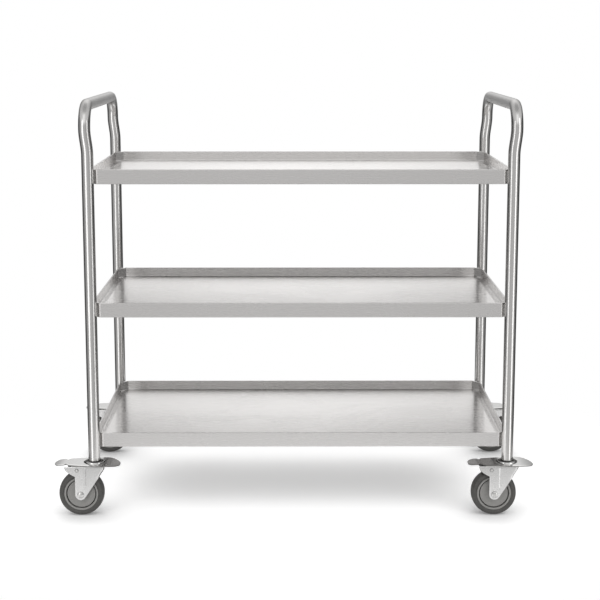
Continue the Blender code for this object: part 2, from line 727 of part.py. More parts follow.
def pedal_rows():
    """Return rows of place, half-width and height along the pedal's upper side.

    Beyond the fork the plate dips as the square of the distance from where the dip starts.
    """
    rows = []
    for reach_share, width_share in PEDAL_OUTLINE_SHARES:
        reach = PEDAL_TIP_REACH if reach_share > 0 else PEDAL_LEAD_REACH
        place = reach * reach_share
        lead = max(0.0, -place - FORK_LEAD_REACH) / PEDAL_LEAD_OVERHANG
        tip = max(0.0, place - FORK_TRAIL_REACH) / PEDAL_TIP_OVERHANG
        drop = PEDAL_LEAD_DROP * lead * lead + PEDAL_TIP_DROP * tip * tip
        height = PEDAL_UNDERSIDE_Z + PEDAL_SHEET - drop
        rows.append((place, PEDAL_HALF_WIDTH * width_share, height))
    return rows


def pedal_plate(cart):
    """Return the pedal's plate: a grid between its two edges, given the sheet's thickness."""
    shape = bmesh.new()
    rows = [
        [shape.verts.new((place, side * half, height)) for side in (-1, 0, 1)]
        for place, half, height in pedal_rows()
    ]
    for near, far in zip(rows, rows[1:]):
        for side in range(2):
            shape.faces.new((near[side], near[side + 1], far[side + 1], far[side]))
    item = linked("pedal", mesh_from(shape, "pedal"), cart)
    sheet = item.modifiers.new("sheet", "SOLIDIFY")
    sheet.thickness = PEDAL_SHEET
    sheet.offset = -1.0
    sheet.use_even_offset = True
    return mesh_of(item)


def on_pivot(mesh):
    """Redraw a mesh of the caster about the pedal's pivot."""
    mesh.transform(Matrix.Translation((-PIVOT_TRAIL, 0.0, -PIVOT_Z)))
    return mesh


def pedal_mesh(cart, cutters):
    """Join the pedal's plate to its pivot lug and cut the holes for the swivel and the pin."""
    item = linked("pedal", pedal_plate(cart), cart)
    lug_top = PEDAL_UNDERSIDE_Z + PEDAL_SHEET / 2
    lug_outline = arc((PIVOT_TRAIL, PIVOT_Z), LUG_RADIUS, 180, 360, BOSS_STEPS)
    lug_outline += [(PIVOT_TRAIL + LUG_RADIUS, lug_top), (PIVOT_TRAIL - LUG_RADIUS, lug_top)]
    lug = upright(filled_outlines("pedal_lug", [lug_outline], LUG_WIDTH, cart))
    boolean(item, "UNION", as_cutter("pedal_lug_shape", lug, (0.0, 0.0, 0.0), cutters))
    hole = cylinder_cutter(
        "pedal_swivel_cutter",
        bore_radius(CAP_RADIUS, PEDAL_CAP_GAP, SWIVEL_STEPS),
        PEDAL_SHEET + 2 * CUT_OVERRUN,
        (0.0, 0.0, PEDAL_UNDERSIDE_Z),
        False,
        SWIVEL_STEPS,
        cutters,
    )
    boolean(item, "DIFFERENCE", hole)
    bore = cylinder_cutter(
        "pedal_pin_cutter",
        bore_radius(PIVOT_PIN_RADIUS, FIT_GAP, BUSH_STEPS),
        LUG_WIDTH + 2 * CUT_OVERRUN,
        (PIVOT_TRAIL, 0.0, PIVOT_Z),
        True,
        BUSH_STEPS,
        cutters,
    )
    boolean(item, "DIFFERENCE", bore)
    return on_pivot(mesh_of(item))


def shoe_mesh(cart):
    """Cut the brake shoe: a block whose lower side follows the tyre, a set gap away."""
    reach = WHEEL_RADIUS + SHOE_TYRE_GAP
    ends = (SHOE_START, SHOE_END)
    angles = [math.degrees(math.acos((place - CASTER_TRAIL) / reach)) for place in ends]
    top = PEDAL_UNDERSIDE_Z - FIT_GAP
    outline = arc((CASTER_TRAIL, WHEEL_RADIUS), reach, angles[0], angles[1], SHOE_STEPS)
    outline += [(SHOE_END, top), (SHOE_START, top)]
    return on_pivot(upright(filled_outlines("brake_shoe", [outline], SHOE_WIDTH, cart)))


def caster_meshes(cart, cutters):
    """Return, for each frame of the caster, its pieces' names, finishes and meshes."""
    return {
        "leg": (
            ("kingpin", "turned_steel", kingpin_mesh(cart)),
            ("tube_plug", "bush_plastic", plug_mesh(cart)),
            ("swivel_cap", "polished_steel", swivel_cap_mesh(cart)),
        ),
        "swivel": (
            ("swivel_bearing", "turned_steel", bearing_mesh(cart)),
            ("fork", "pressed_steel", fork_mesh(cart, cutters)),
            ("axle", "turned_steel", axle_mesh(cart)),
            ("axle_nut", "turned_steel", axle_nut_mesh(cart)),
            ("pedal_pin", "turned_steel", pivot_pin_mesh(cart)),
        ),
        "wheel": (
            ("tyre", "tyre_rubber", tyre_mesh(cart)),
            ("hub", "hub_plastic", hub_mesh(cart)),
            ("wheel_bush", "bush_plastic", bush_mesh(cart)),
        ),
        "pedal": (
            ("pedal", "polished_steel", pedal_mesh(cart, cutters)),
            ("brake_shoe", "shoe_rubber", shoe_mesh(cart)),
        ),
    }


def build_casters(cart, cutters):
    """Place the four casters, each with its swivel, wheel and pedal axes as empties."""
    pieces = caster_meshes(cart, cutters)
    axle_place = (CASTER_TRAIL, 0.0, WHEEL_RADIUS)
    pivot_place = (PIVOT_TRAIL, 0.0, PIVOT_Z)
    for corner, side_x, side_y, heading in CASTERS:
        foot = (side_x * HALF_X, side_y * HALF_Y, 0.0)
        leg = empty_at(f"{corner}_leg_axis", foot, 0.0, None, cart)
        swivel = empty_at(f"{corner}_swivel_axis", (0.0, 0.0, 0.0), heading, leg, cart)
        frames = {
            "leg": leg,
            "swivel": swivel,
            "wheel": empty_at(f"{corner}_wheel_axis", axle_place, 0.0, swivel, cart),
            "pedal": empty_at(f"{corner}_pedal_axis", pivot_place, 0.0, swivel, cart),
        }
        for frame, members in pieces.items():
            for name, finish_name, mesh in members:
                place_piece(f"{corner}_{name}", mesh, finish_name, frames[frame], cart)


def build_cart():
    """Build the whole cart."""
    empty_scene()
    cart = new_collection("cleanroom_cart")
    cutters = new_collection("cleanroom_cart_cutters")
    build_hoop("hoop_left", -1, cart)
    build_hoop("hoop_right", 1, cart)
    for level, name in enumerate(TRAY_NAMES):
        build_tray(name, LOWEST_RIM_TOP_Z + TRAY_PITCH * level, cart)
    build_casters(cart, cutters)
    bpy.context.view_layer.update()


build_cart()
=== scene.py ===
"""Looks of a three-tray stainless cleanroom cart on four braked swivel casters.

Lengths are in metres, +Z is up, +X runs along the cart's long side and -Y is its front. Every
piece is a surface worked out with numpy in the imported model's frame. It stands for one node of
that model or adds a detail to one, and rides on that node's body. A caster is drawn in its own
frame, with the origin on the floor under the swivel axis and +X the way that the wheel trails,
and is then put in place.
"""

import logging
import math
from collections.abc import Callable, Sequence
from dataclasses import dataclass, field
from enum import Enum
from typing import ClassVar

import bmesh
import bpy
import numpy as np
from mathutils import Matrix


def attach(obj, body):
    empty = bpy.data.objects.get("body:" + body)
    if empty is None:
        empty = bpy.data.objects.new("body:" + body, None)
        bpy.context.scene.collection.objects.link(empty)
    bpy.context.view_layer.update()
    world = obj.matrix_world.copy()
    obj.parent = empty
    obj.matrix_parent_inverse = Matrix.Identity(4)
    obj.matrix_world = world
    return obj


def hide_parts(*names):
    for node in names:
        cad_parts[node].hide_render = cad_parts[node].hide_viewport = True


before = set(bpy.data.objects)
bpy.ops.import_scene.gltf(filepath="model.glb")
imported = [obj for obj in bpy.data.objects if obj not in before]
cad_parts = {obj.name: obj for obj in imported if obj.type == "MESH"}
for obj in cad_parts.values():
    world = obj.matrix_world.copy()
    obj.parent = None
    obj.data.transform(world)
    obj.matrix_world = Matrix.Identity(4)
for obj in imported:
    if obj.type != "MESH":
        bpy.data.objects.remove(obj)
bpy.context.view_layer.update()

LOG = logging.getLogger("cart")
GRAIN_MAP = "grain"
WELD_DISTANCE = 2e-6
SHARP_ANGLE = math.radians(32)
BEVEL_ANGLE = math.radians(40)
FULL_TURN = 2 * math.pi
WHITE = (1.0, 1.0, 1.0, 1.0)
BLACK = (0.0, 0.0, 0.0, 1.0)

# Sizes that several classes share
LEG_X = 0.457
LEG_Y = 0.240
TUBE_RADIUS = 0.013
AXLE_X = 0.029
AXLE_Z = 0.050
AXLE_RADIUS = 0.004
PIVOT_X = 0.0365
PIVOT_Z = 0.1058
FORK_LEAD = 0.0235
FORK_TRAIL = 0.0642
FIT_GAP = 0.0003

Node = bpy.types.Node
Socket = bpy.types.NodeSocket
Pair = tuple[float, float]
Colour = tuple[float, float, float]


class Slot(Enum):
    """The record's material slots."""

    TUBE = "stainless_tube"
    SHEET = "stainless_sheet"
    PRESSED = "pressed_steel"
    POLISHED = "polished_steel"
    TURNED = "turned_steel"
    TYRE = "tyre_rubber"
    SHOE = "shoe_rubber"
    HUB = "hub_plastic"
    BUSH = "bush_plastic"


class Body(Enum):
    """The bodies that pieces ride on; a caster's own have their corner's name before them."""

    FRAME = "frame"
    SWIVEL = "swivel_body"
    WHEEL = "wheel_body"
    PEDAL = "pedal_body"


# Surfaces


def eased(values: np.ndarray, start: float, end: float) -> np.ndarray:
    """Return 3 s^2 - 2 s^3, where s is how far each value is from start to end, held to 0 to 1."""
    share = np.clip((values - start) / (end - start), 0.0, 1.0)
    return share * share * (3.0 - 2.0 * share)


def unit(vectors: np.ndarray) -> np.ndarray:
    """Return each row at length 1."""
    return vectors / np.linalg.norm(vectors, axis=1, keepdims=True)


def steps_between(knots: np.ndarray, counts: Sequence[int]) -> np.ndarray:
    """Fill in places between knots at even steps, each stretch with its own number of steps.

    Args:
        knots: Knots along the last axis, one more than there are counts.
        counts: Steps in each stretch.

    Returns:
        The places along the last axis, both ends included.
    """
    stretches = [
        knots[..., i : i + 1] + (knots[..., i + 1 : i + 2] - knots[..., i : i + 1]) * np.arange(n) / n
        for i, n in enumerate(counts)
    ]
    return np.concatenate([*stretches, knots[..., -1:]], axis=-1)


def filleted(corners: np.ndarray, cuts: np.ndarray, steps: int, closed: bool) -> np.ndarray:
    """Round the corners of an outline.

    Each corner C gives way to the curve (1-t)^2 A + 2t(1-t) C + t^2 B, where A and B lie on the
    two sides that meet there, a cut away from C but never past the middle of a side.

    Args:
        corners: Corners along the axis before the last, with two numbers each.
        cuts: How far from each corner its rounding starts.
        steps: Points on each rounding.
        closed: Whether the outline closes; the ends of an open one stay as they are.

    Returns:
        The rounded outline, with the same leading axes.
    """
    before = np.roll(corners, 1, axis=-2) - corners
    after = np.roll(corners, -1, axis=-2) - corners
    before_length = np.linalg.norm(before, axis=-1)
    after_length = np.linalg.norm(after, axis=-1)
    cut = np.minimum(np.minimum(before_length, after_length) / 2, cuts)
    start = corners + before * (cut / before_length)[..., None]
    end = corners + after * (cut / after_length)[..., None]
    t = np.linspace(0.0, 1.0, steps)[:, None]
    start, middle, end = (points[..., None, :] for points in (start, corners, end))
    curves = (1 - t) ** 2 * start + 2 * t * (1 - t) * middle + t**2 * end
    if closed:
        return curves.reshape(*corners.shape[:-2], -1, 2)
    rounded = curves[..., 1:-1, :, :].reshape(*corners.shape[:-2], -1, 2)
    return np.concatenate([corners[..., :1, :], rounded, corners[..., -1:, :]], axis=-2)


def profile(
    corners: Sequence[tuple[float, float, float]], steps: int, closed: bool, mirrored: bool = False
) -> np.ndarray:
    """Round an outline that is written as a list.

    Args:
        corners: For each corner its radius, its height and how far from it its rounding starts.
        steps: Points on each rounding.
        closed: Whether the outline closes.
        mirrored: Whether the same corners follow backwards, with their heights negated.

    Returns:
        Pairs of radius and height.
    """
    table = np.array(corners)
    if mirrored:
        table = np.concatenate([table, table[::-1] * (1.0, -1.0, 1.0)])
    return filleted(table[:, :2], table[:, 2], steps, closed)


def arc(centre: Pair, radius: float, angles: np.ndarray) -> np.ndarray:
    """Return the points of a circle at those angles, in radians, as pairs."""
    return np.stack([centre[0] + radius * np.cos(angles), centre[1] + radius * np.sin(angles)], axis=-1)


def turned(outline: np.ndarray, steps: int) -> np.ndarray:
    """Carry an outline round the Z axis.

    The point at an angle is the radius times its cosine, the radius times its sine, the height.

    Args:
        outline: Pairs of radius and height, or for each pair one radius for every angle.
        steps: Points round the axis.

    Returns:
        A grid of points, one row for each point of the outline.
    """
    angles = np.arange(steps) * (FULL_TURN / steps)
    radius, height = outline[:, :-1], outline[:, -1:]
    flat = np.stack([radius * np.cos(angles), radius * np.sin(angles)], axis=-1)
    return np.concatenate([flat, np.broadcast_to(height[..., None], (*flat.shape[:2], 1))], axis=-1)


def along_y(points: np.ndarray) -> np.ndarray:
    """Lay points drawn about Z over so that their axis runs along Y."""
    return points[..., [0, 2, 1]]


class Shell:
    """The points, faces and grain map of one mesh, put together from grids and flat caps."""

    def __init__(self) -> None:
        """Start with nothing."""
        self.points: list[np.ndarray] = []
        self.faces: list[list[int]] = []
        self.grain: list[np.ndarray] = []
        self.count = 0

    def grid(
        self,
        points: np.ndarray,
        close_rows: bool = False,
        close_columns: bool = False,
        keep: np.ndarray | None = None,
        grain_down_rows: bool = False,
    ) -> "Shell":
        """Add a grid of points as quads.

        The grain map holds the mean distance along the columns and along the rows, in metres.

        Args:
            points: Rows by columns by three.
            close_rows: Whether the last row joins the first.
            close_columns: Whether the last column joins the first.
            keep: Which quads stay, where some are left out.
            grain_down_rows: Whether the grain runs from row to row.

        Returns:
            The shell itself.
        """
        rows, columns = points.shape[:2]
        row, column = np.meshgrid(
            np.arange(rows - (not close_rows)), np.arange(columns - (not close_columns)), indexing="ij"
        )
        if keep is not None:
            row, column = row[keep], column[keep]
        row, column = row.ravel(), column.ravel()
        corner_rows = np.stack([row, row, row + 1, row + 1], axis=-1)
        corner_columns = np.stack([column, column + 1, column + 1, column], axis=-1)
        index = (corner_rows % rows) * columns + corner_columns % columns + self.count
        down = np.linalg.norm(np.diff(points, axis=0, append=points[:1]), axis=-1).mean(axis=1)
        across = np.linalg.norm(np.diff(points, axis=1, append=points[:, :1]), axis=-1).mean(axis=0)
        down = np.concatenate([[0.0], np.cumsum(down)])
        across = np.concatenate([[0.0], np.cumsum(across)])
        pair = [across[corner_columns], down[corner_rows]]
        self.grain.append(np.stack(pair[::-1] if grain_down_rows else pair, axis=-1).reshape(-1, 2))
        self.points.append(points.reshape(-1, 3))
        self.faces += index.tolist()
        self.count += rows * columns
        return self

    def cap(self, ring: np.ndarray) -> "Shell":
        """Add one flat face, whose grain map is its own X and Y.

        Args:
            ring: The points round the face.

        Returns:
            The shell itself.
        """
        self.points.append(ring)
        self.faces.append(list(range(self.count, self.count + len(ring))))
        self.grain.append(ring[:, :2])
        self.count += len(ring)
        return self

    def place(self, move: Callable[[np.ndarray], np.ndarray]) -> "Shell":
        """Put every point through a function and return the shell."""
        self.points = [move(points) for points in self.points]
        return self

    def shift(self, x: float, z: float) -> "Shell":
        """Move every point along X and Z and return the shell."""
        return self.place(lambda points: points + (x, 0.0, z))

    def mesh(self, name: str) -> bpy.types.Mesh:
        """Make the mesh, with points that coincide joined.

        Args:
            name: The mesh's name.

        Returns:
            The mesh, with its grain map.
        """
        made = bpy.data.meshes.new(name)
        made.from_pydata(np.concatenate(self.points), [], self.faces)
        grain = made.uv_layers.new(name=GRAIN_MAP)
        grain.uv.foreach_set("vector", np.concatenate(self.grain).ravel().astype(np.float32))
        shape = bmesh.new()
        shape.from_mesh(made)
        bmesh.ops.remove_doubles(shape, verts=shape.verts, dist=WELD_DISTANCE)
        shape.to_mesh(made)
        shape.free()
        return made


def ring_shell(outline: np.ndarray, steps: int = 96) -> Shell:
    """Return a closed outline of radius and height turned into a ring."""
    return Shell().grid(turned(outline, steps), close_rows=True, close_columns=True)


def solid_shell(outline: np.ndarray, steps: int = 96) -> Shell:
    """Return an outline that starts and ends on the axis turned into a solid."""
    return Shell().grid(turned(outline, steps), close_columns=True)


def rod(radius: float, low: float, high: float) -> Shell:
    """Return a plain solid rod about Z, for cutting holes."""
    return solid_shell(np.array([(0.0, low), (radius, low), (radius, high), (0.0, high)]), 48)


def block_shell(outline: np.ndarray, half_width: float) -> Shell:
    """Return an outline in X and Z given a width along Y, half of it each way."""
    sides = [np.insert(outline, 1, across, axis=1) for across in (-half_width, half_width)]
    return Shell().grid(np.stack(sides), close_columns=True).cap(sides[0]).cap(sides[1])


@dataclass(frozen=True)
class SheetWork:
    """How an open surface becomes a piece of sheet metal, or a block gets its soft edges."""

    thickness: float = 0.0
    edge: float = 0.0
    edge_segments: int = 2
    drills: tuple[Shell, ...] = ()

    def add_to(self, piece: bpy.types.Object) -> list[bpy.types.Object]:
        """Add the thickness, the holes and the bevelled edges as modifiers.

        Args:
            piece: The object to work on.

        Returns:
            The objects that cut the holes.
        """
        if self.thickness:
            wall = piece.modifiers.new("wall", "SOLIDIFY")
            wall.thickness = self.thickness
            wall.offset = -1.0
            wall.use_even_offset = True
        cutters = []
        for number, drill in enumerate(self.drills):
            cutter = bpy.data.objects.new(f"drill_{number}", drill.mesh("drill"))
            bpy.context.scene.collection.objects.link(cutter)
            outward_faces(cutter.data)
            hole = piece.modifiers.new(cutter.name, "BOOLEAN")
            hole.operation = "DIFFERENCE"
            hole.object = cutter
            hole.solver = "EXACT"
            cutters.append(cutter)
        if self.edge:
            bevel = piece.modifiers.new("edge", "BEVEL")
            bevel.width = self.edge
            bevel.segments = self.edge_segments
            bevel.limit_method = "ANGLE"
            bevel.angle_limit = BEVEL_ANGLE
        return cutters


def outward_faces(mesh: bpy.types.Mesh) -> None:
    """Turn the faces of a closed shell outwards.

    Args:
        mesh: The shell, whose points that coincide are joined first.
    """
    shape = bmesh.new()
    shape.from_mesh(mesh)
    bmesh.ops.remove_doubles(shape, verts=shape.verts, dist=WELD_DISTANCE)
    bmesh.ops.recalc_face_normals(shape, faces=shape.faces)
    shape.to_mesh(mesh)
    shape.free()


def baked(piece: bpy.types.Object) -> None:
    """Turn an object's modifiers into its mesh.

    Args:
        piece: The object.
    """
    bpy.context.view_layer.update()
    seen = piece.evaluated_get(bpy.context.evaluated_depsgraph_get())
    mesh = bpy.data.meshes.new_from_object(seen)
    piece.modifiers.clear()
    piece.data = mesh


def make_piece(
    name: str,
    shell: Shell,
    body: str,
    finish: "Finish",
    nodes: Sequence[str] = (),
    work: SheetWork | None = None,
) -> None:
    """Finish a shell as a piece of the cart.

    Large flat faces give their edges the normal, so that they stay flat next to a bevel.

    Args:
        name: The piece's name.
        shell: Its surface.
        body: The body it rides on.
        finish: Its finish, which also names the record's slot.
        nodes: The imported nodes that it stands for.
        work: Its thickness, holes and edges, where the shell is not the whole shape.
    """
    piece = bpy.data.objects.new(name, shell.mesh(name))
    bpy.context.scene.collection.objects.link(piece)
    if work:
        cutters = work.add_to(piece)
        baked(piece)
        for cutter in cutters:
            bpy.data.objects.remove(cutter)
    outward_faces(piece.data)
    piece.data.shade_smooth()
    piece.data.set_sharp_from_angle(angle=SHARP_ANGLE)
    flat = piece.modifiers.new("flat", "WEIGHTED_NORMAL")
    flat.keep_sharp = True
    baked(piece)
    piece.data.name = name
    piece.data.materials.clear()
    piece.data.materials.append(finish.material())
    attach(piece, body)
    if nodes:
        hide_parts(*nodes)
    LOG.info("%s: %d faces on %s", name, len(piece.data.polygons), body)


# Shader nodes


class Wiring:
    """One node tree, with nodes made and joined in single calls.

    A value is a plain number or colour, or another node's output socket.
    """

    def __init__(self, tree: bpy.types.NodeTree) -> None:
        """Take the tree to work in."""
        self.tree = tree

    def node(self, kind: str, inputs: dict | None = None, **settings: object) -> Node:
        """Make a node.

        Args:
            kind: The node's type, without ShaderNode before it.
            inputs: A value for each input, by name or number.
            settings: Properties of the node.

        Returns:
            The node.
        """
        made = self.tree.nodes.new("ShaderNode" + kind)
        for key, value in settings.items():
            setattr(made, key, value)
        for key, value in (inputs or {}).items():
            self.feed(made.inputs[key], value)
        return made

    def feed(self, socket: Socket, value: object) -> None:
        """Join an output to a socket, or write a plain value into it.

        Args:
            socket: The input to feed.
            value: The output or the plain value.
        """
        if isinstance(value, Socket):
            self.tree.links.new(value, socket)
        else:
            socket.default_value = value

    def math(self, operation: str, *values: object) -> Socket:
        """Return the result of a Math node."""
        return self.node("Math", dict(enumerate(values)), operation=operation).outputs[0]

    def times(self, first: object, second: object) -> Socket:
        """Return one value times another."""
        return self.math("MULTIPLY", first, second)

    def larger(self, first: object, second: object) -> Socket:
        """Return the larger of two values."""
        return self.math("MAXIMUM", first, second)

    def split(self, vector: Socket) -> bpy.types.bpy_prop_collection:
        """Return a vector's X, Y and Z."""
        return self.node("SeparateXYZ", {0: vector}).outputs

    def distance(self, x: object, y: object) -> Socket:
        """Return how far a point at X and Y is from the origin."""
        flat = self.node("CombineXYZ", {"X": x, "Y": y, "Z": 0.0}).outputs[0]
        return self.node("VectorMath", {0: flat}, operation="LENGTH").outputs["Value"]

    def noise(self, place: Socket, scale: object, detail: float) -> Socket:
        """Return soft noise between 0 and 1."""
        return self.node("TexNoise", {"Vector": place, "Scale": scale, "Detail": detail}).outputs["Fac"]

    def ranged(
        self, value: object, start: float, end: float, to_start: object = 0.0, to_end: object = 1.0
    ) -> Socket:
        """Return a value carried smoothly from one range to another, and held at its ends."""
        inputs = {"Value": value, "From Min": start, "From Max": end, "To Min": to_start, "To Max": to_end}
        return self.node("MapRange", inputs, interpolation_type="SMOOTHSTEP").outputs["Result"]

    def mixed(self, share: object, first: object, second: object) -> Socket:
        """Return the mix of two colours."""
        return self.node("Mix", {0: share, 6: first, 7: second}, data_type="RGBA").outputs[2]

    def between(self, share: object, first: object, second: object) -> Socket:
        """Return the mix of two numbers."""
        return self.node("Mix", {0: share, 2: first, 3: second}).outputs[0]

    def bump(self, height: Socket, distance: float, under: Socket | None = None) -> Socket:
        """Return the normal of a bumpy surface, on top of another bump where one is given."""
        inputs = {"Height": height, "Distance": distance, "Strength": 1.0}
        return self.node("Bump", inputs | ({"Normal": under} if under else {})).outputs[0]


class Skin(Wiring):
    """A material's node tree, with the coordinates that its finish reads."""

    def __init__(self, tree: bpy.types.NodeTree) -> None:
        """Take the tree and add the coordinates.

        Args:
            tree: The tree to work in, which is emptied first.
        """
        super().__init__(tree)
        tree.nodes.clear()
        coordinates = self.node("TexCoord").outputs
        self.place = coordinates["Object"]
        self.normal = coordinates["Normal"]

    def grain_map(self) -> Socket:
        """Return the coordinates that run along and across the grain, in metres."""
        return self.node("UVMap", uv_map=GRAIN_MAP).outputs["UV"]


@dataclass(frozen=True)
class Effect:
    """A shader node group, built once and placed in each material with its own values.

    The inputs are given with their usual values, where None stands for a vector.
    """

    name: ClassVar[str]
    inputs: ClassVar[dict[str, float | None]]
    outputs: ClassVar[tuple[str, ...]]

    def wire(self, wiring: Wiring, given: bpy.types.bpy_prop_collection) -> tuple[Socket, ...]:
        """Return what feeds the outputs; each effect wires its own."""
        raise NotImplementedError

    def tree(self) -> bpy.types.NodeTree:
        """Return the group, made on first use.

        Returns:
            The group's node tree.
        """
        found = bpy.data.node_groups.get(self.name)
        if found:
            return found
        made = bpy.data.node_groups.new(self.name, "ShaderNodeTree")
        for name, value in self.inputs.items():
            kind = "NodeSocketVector" if value is None else "NodeSocketFloat"
            socket = made.interface.new_socket(name=name, in_out="INPUT", socket_type=kind)
            if value is not None:
                socket.default_value = value
        for name in self.outputs:
            made.interface.new_socket(name=name, in_out="OUTPUT", socket_type="NodeSocketFloat")
        wiring = Wiring(made)
        source = made.nodes.new("NodeGroupInput")
        target = made.nodes.new("NodeGroupOutput")
        for name, value in zip(self.outputs, self.wire(wiring, source.outputs)):
            wiring.feed(target.inputs[name], value)
        return made

    def add(self, wiring: Wiring, **inputs: object) -> bpy.types.bpy_prop_collection:
        """Place the group in a material.

        Args:
            wiring: The material's node tree.
            inputs: Values for the group's inputs, by their names in small letters.

        Returns:
            The group's outputs.
        """
        made = wiring.node("Group", node_tree=self.tree())
        for name, value in inputs.items():
            wiring.feed(made.inputs[name.capitalize()], value)
        return made.outputs


@dataclass(frozen=True)
class BrushedGrain(Effect):
    """Long lines: fine and broad noise on a map that is stretched along the grain."""

    name = "brushed_grain"
    inputs = {"Map": None, "Along": 20.0, "Across": 2000.0}
    outputs = ("Lines",)
    fine_detail: float = 3.0
    fine_range: Pair = (0.28, 0.72)
    fine_weight: float = 0.75
    broad_scale: float = 0.16
    broad_detail: float = 2.0
    broad_range: Pair = (0.3, 0.7)

    def wire(self, wiring: Wiring, given: bpy.types.bpy_prop_collection) -> tuple[Socket, ...]:
        """Wire both sizes of lines.

        Args:
            wiring: The group's node tree.
            given: The group's inputs.

        Returns:
            The lines, between 0 and 1.
        """
        lines = []
        for scale, detail in ((1.0, self.fine_detail), (self.broad_scale, self.broad_detail)):
            along, across = (wiring.times(given[name], scale) for name in ("Along", "Across"))
            stretch = wiring.node("CombineXYZ", {"X": along, "Y": across, "Z": 0.0}).outputs[0]
            spot = wiring.node("VectorMath", {0: given["Map"], 1: stretch}, operation="MULTIPLY")
            lines.append(wiring.noise(spot.outputs[0], 1.0, detail))
        fine = wiring.times(wiring.ranged(lines[0], *self.fine_range), self.fine_weight)
        broad = wiring.times(wiring.ranged(lines[1], *self.broad_range), 1 - self.fine_weight)
        return (wiring.math("ADD", fine, broad),)


@dataclass(frozen=True)
class WipedSmudges(Effect):
    """Wiped haze: broad noise that is bent by a second noise."""

    name = "wiped_smudges"
    inputs = {"Place": None, "Size": 6.0}
    outputs = ("Haze",)
    bend_scale: float = 0.4
    detail: float = 4.0
    roughness: float = 0.62
    haze_range: Pair = (0.38, 0.68)

    def wire(self, wiring: Wiring, given: bpy.types.bpy_prop_collection) -> tuple[Socket, ...]:
        """Wire the haze.

        Args:
            wiring: The group's node tree.
            given: The group's inputs.

        Returns:
            The haze, between 0 and 1.
        """
        bend_size = wiring.times(given["Size"], self.bend_scale)
        bend = wiring.node("TexNoise", {"Vector": given["Place"], "Scale": bend_size}).outputs["Color"]
        spot = wiring.node("VectorMath", {0: given["Place"], 1: bend}, operation="ADD").outputs[0]
        inputs = {"Vector": spot, "Scale": given["Size"], "Detail": self.detail}
        haze = wiring.node("TexNoise", inputs | {"Roughness": self.roughness}).outputs["Fac"]
        return (wiring.ranged(haze, *self.haze_range),)


@dataclass(frozen=True)
class FineSpeckle(Effect):
    """Small grains: fine noise, and cells whose shallow pits give a height."""

    name = "fine_speckle"
    inputs = {"Place": None, "Size": 900.0}
    outputs = ("Mask", "Pits")
    detail: float = 5.0
    mask_range: Pair = (0.35, 0.65)
    cell_scale: float = 1.7
    cell_range: Pair = (0.0, 0.6)

    def wire(self, wiring: Wiring, given: bpy.types.bpy_prop_collection) -> tuple[Socket, ...]:
        """Wire the grains.

        Args:
            wiring: The group's node tree.
            given: The group's inputs.

        Returns:
            Where the grains are, and the height of their pits.
        """
        noise = wiring.noise(given["Place"], given["Size"], self.detail)
        cell_size = wiring.times(given["Size"], self.cell_scale)
        cells = wiring.node("TexVoronoi", {"Vector": given["Place"], "Scale": cell_size})
        mask = wiring.ranged(noise, *self.mask_range)
        pits = wiring.ranged(cells.outputs["Distance"], *self.cell_range)
        return mask, wiring.times(mask, pits)


@dataclass(frozen=True)
class RubbedEdges(Effect):
    """Rubbed edges and painted shade in crevices: how far a point stands out or lies in, broken up by
    noise.
    """

    name = "rubbed_edges"
    inputs = {"Place": None, "Pointiness": 0.5, "Size": 300.0}
    outputs = ("Wear", "CreviceShade")
    detail: float = 4.0
    noise_share: float = 0.06
    wear_range: Pair = (0.545, 0.60)
    crevice_shade_range: Pair = (0.50, 0.44)

    def wire(self, wiring: Wiring, given: bpy.types.bpy_prop_collection) -> tuple[Socket, ...]:
        """Wire the edges.

        Args:
            wiring: The group's node tree.
            given: The group's inputs.

        Returns:
            Where the surface is rubbed, and where it gets painted shade in hollows.
        """
        noise = wiring.times(wiring.noise(given["Place"], given["Size"], self.detail), self.noise_share)
        standing = wiring.math("ADD", given["Pointiness"], noise)
        return wiring.ranged(standing, *self.wear_range), wiring.ranged(standing, *self.crevice_shade_range)


@dataclass(frozen=True)
class SettledDust(Effect):
    """Dust: more of it on faces that look up and near the floor, in soft patches."""

    name = "settled_dust"
    inputs = {"Place": None, "Normal": None, "Size": 40.0}
    outputs = ("Dust",)
    detail: float = 6.0
    facing_range: Pair = (-0.4, 1.0)
    least_facing: float = 0.35
    height_range: Pair = (0.0, 0.12)
    least_high: float = 0.4
    patch_range: Pair = (0.35, 0.75)

    def wire(self, wiring: Wiring, given: bpy.types.bpy_prop_collection) -> tuple[Socket, ...]:
        """Wire the dust.

        Args:
            wiring: The group's node tree.
            given: The group's inputs.

        Returns:
            How much dust there is, between 0 and 1.
        """
        up, height = (wiring.split(given[name])["Z"] for name in ("Normal", "Place"))
        facing = wiring.ranged(up, *self.facing_range, self.least_facing, 1.0)
        low = wiring.ranged(height, *self.height_range, 1.0, self.least_high)
        patches = wiring.noise(given["Place"], given["Size"], self.detail)
        return (wiring.times(wiring.times(facing, low), wiring.ranged(patches, *self.patch_range)),)


GRAIN = BrushedGrain()
SMUDGES = WipedSmudges()
SPECKLE = FineSpeckle()
EDGE_WEAR = RubbedEdges()
DUST = SettledDust()


# Finishes


def solid(colour: Colour) -> tuple[float, ...]:
    """Return a colour with full alpha."""
    return (*colour, 1.0)


def grey(level: float) -> tuple[float, ...]:
    """Return a grey with full alpha."""
    return (level, level, level, 1.0)


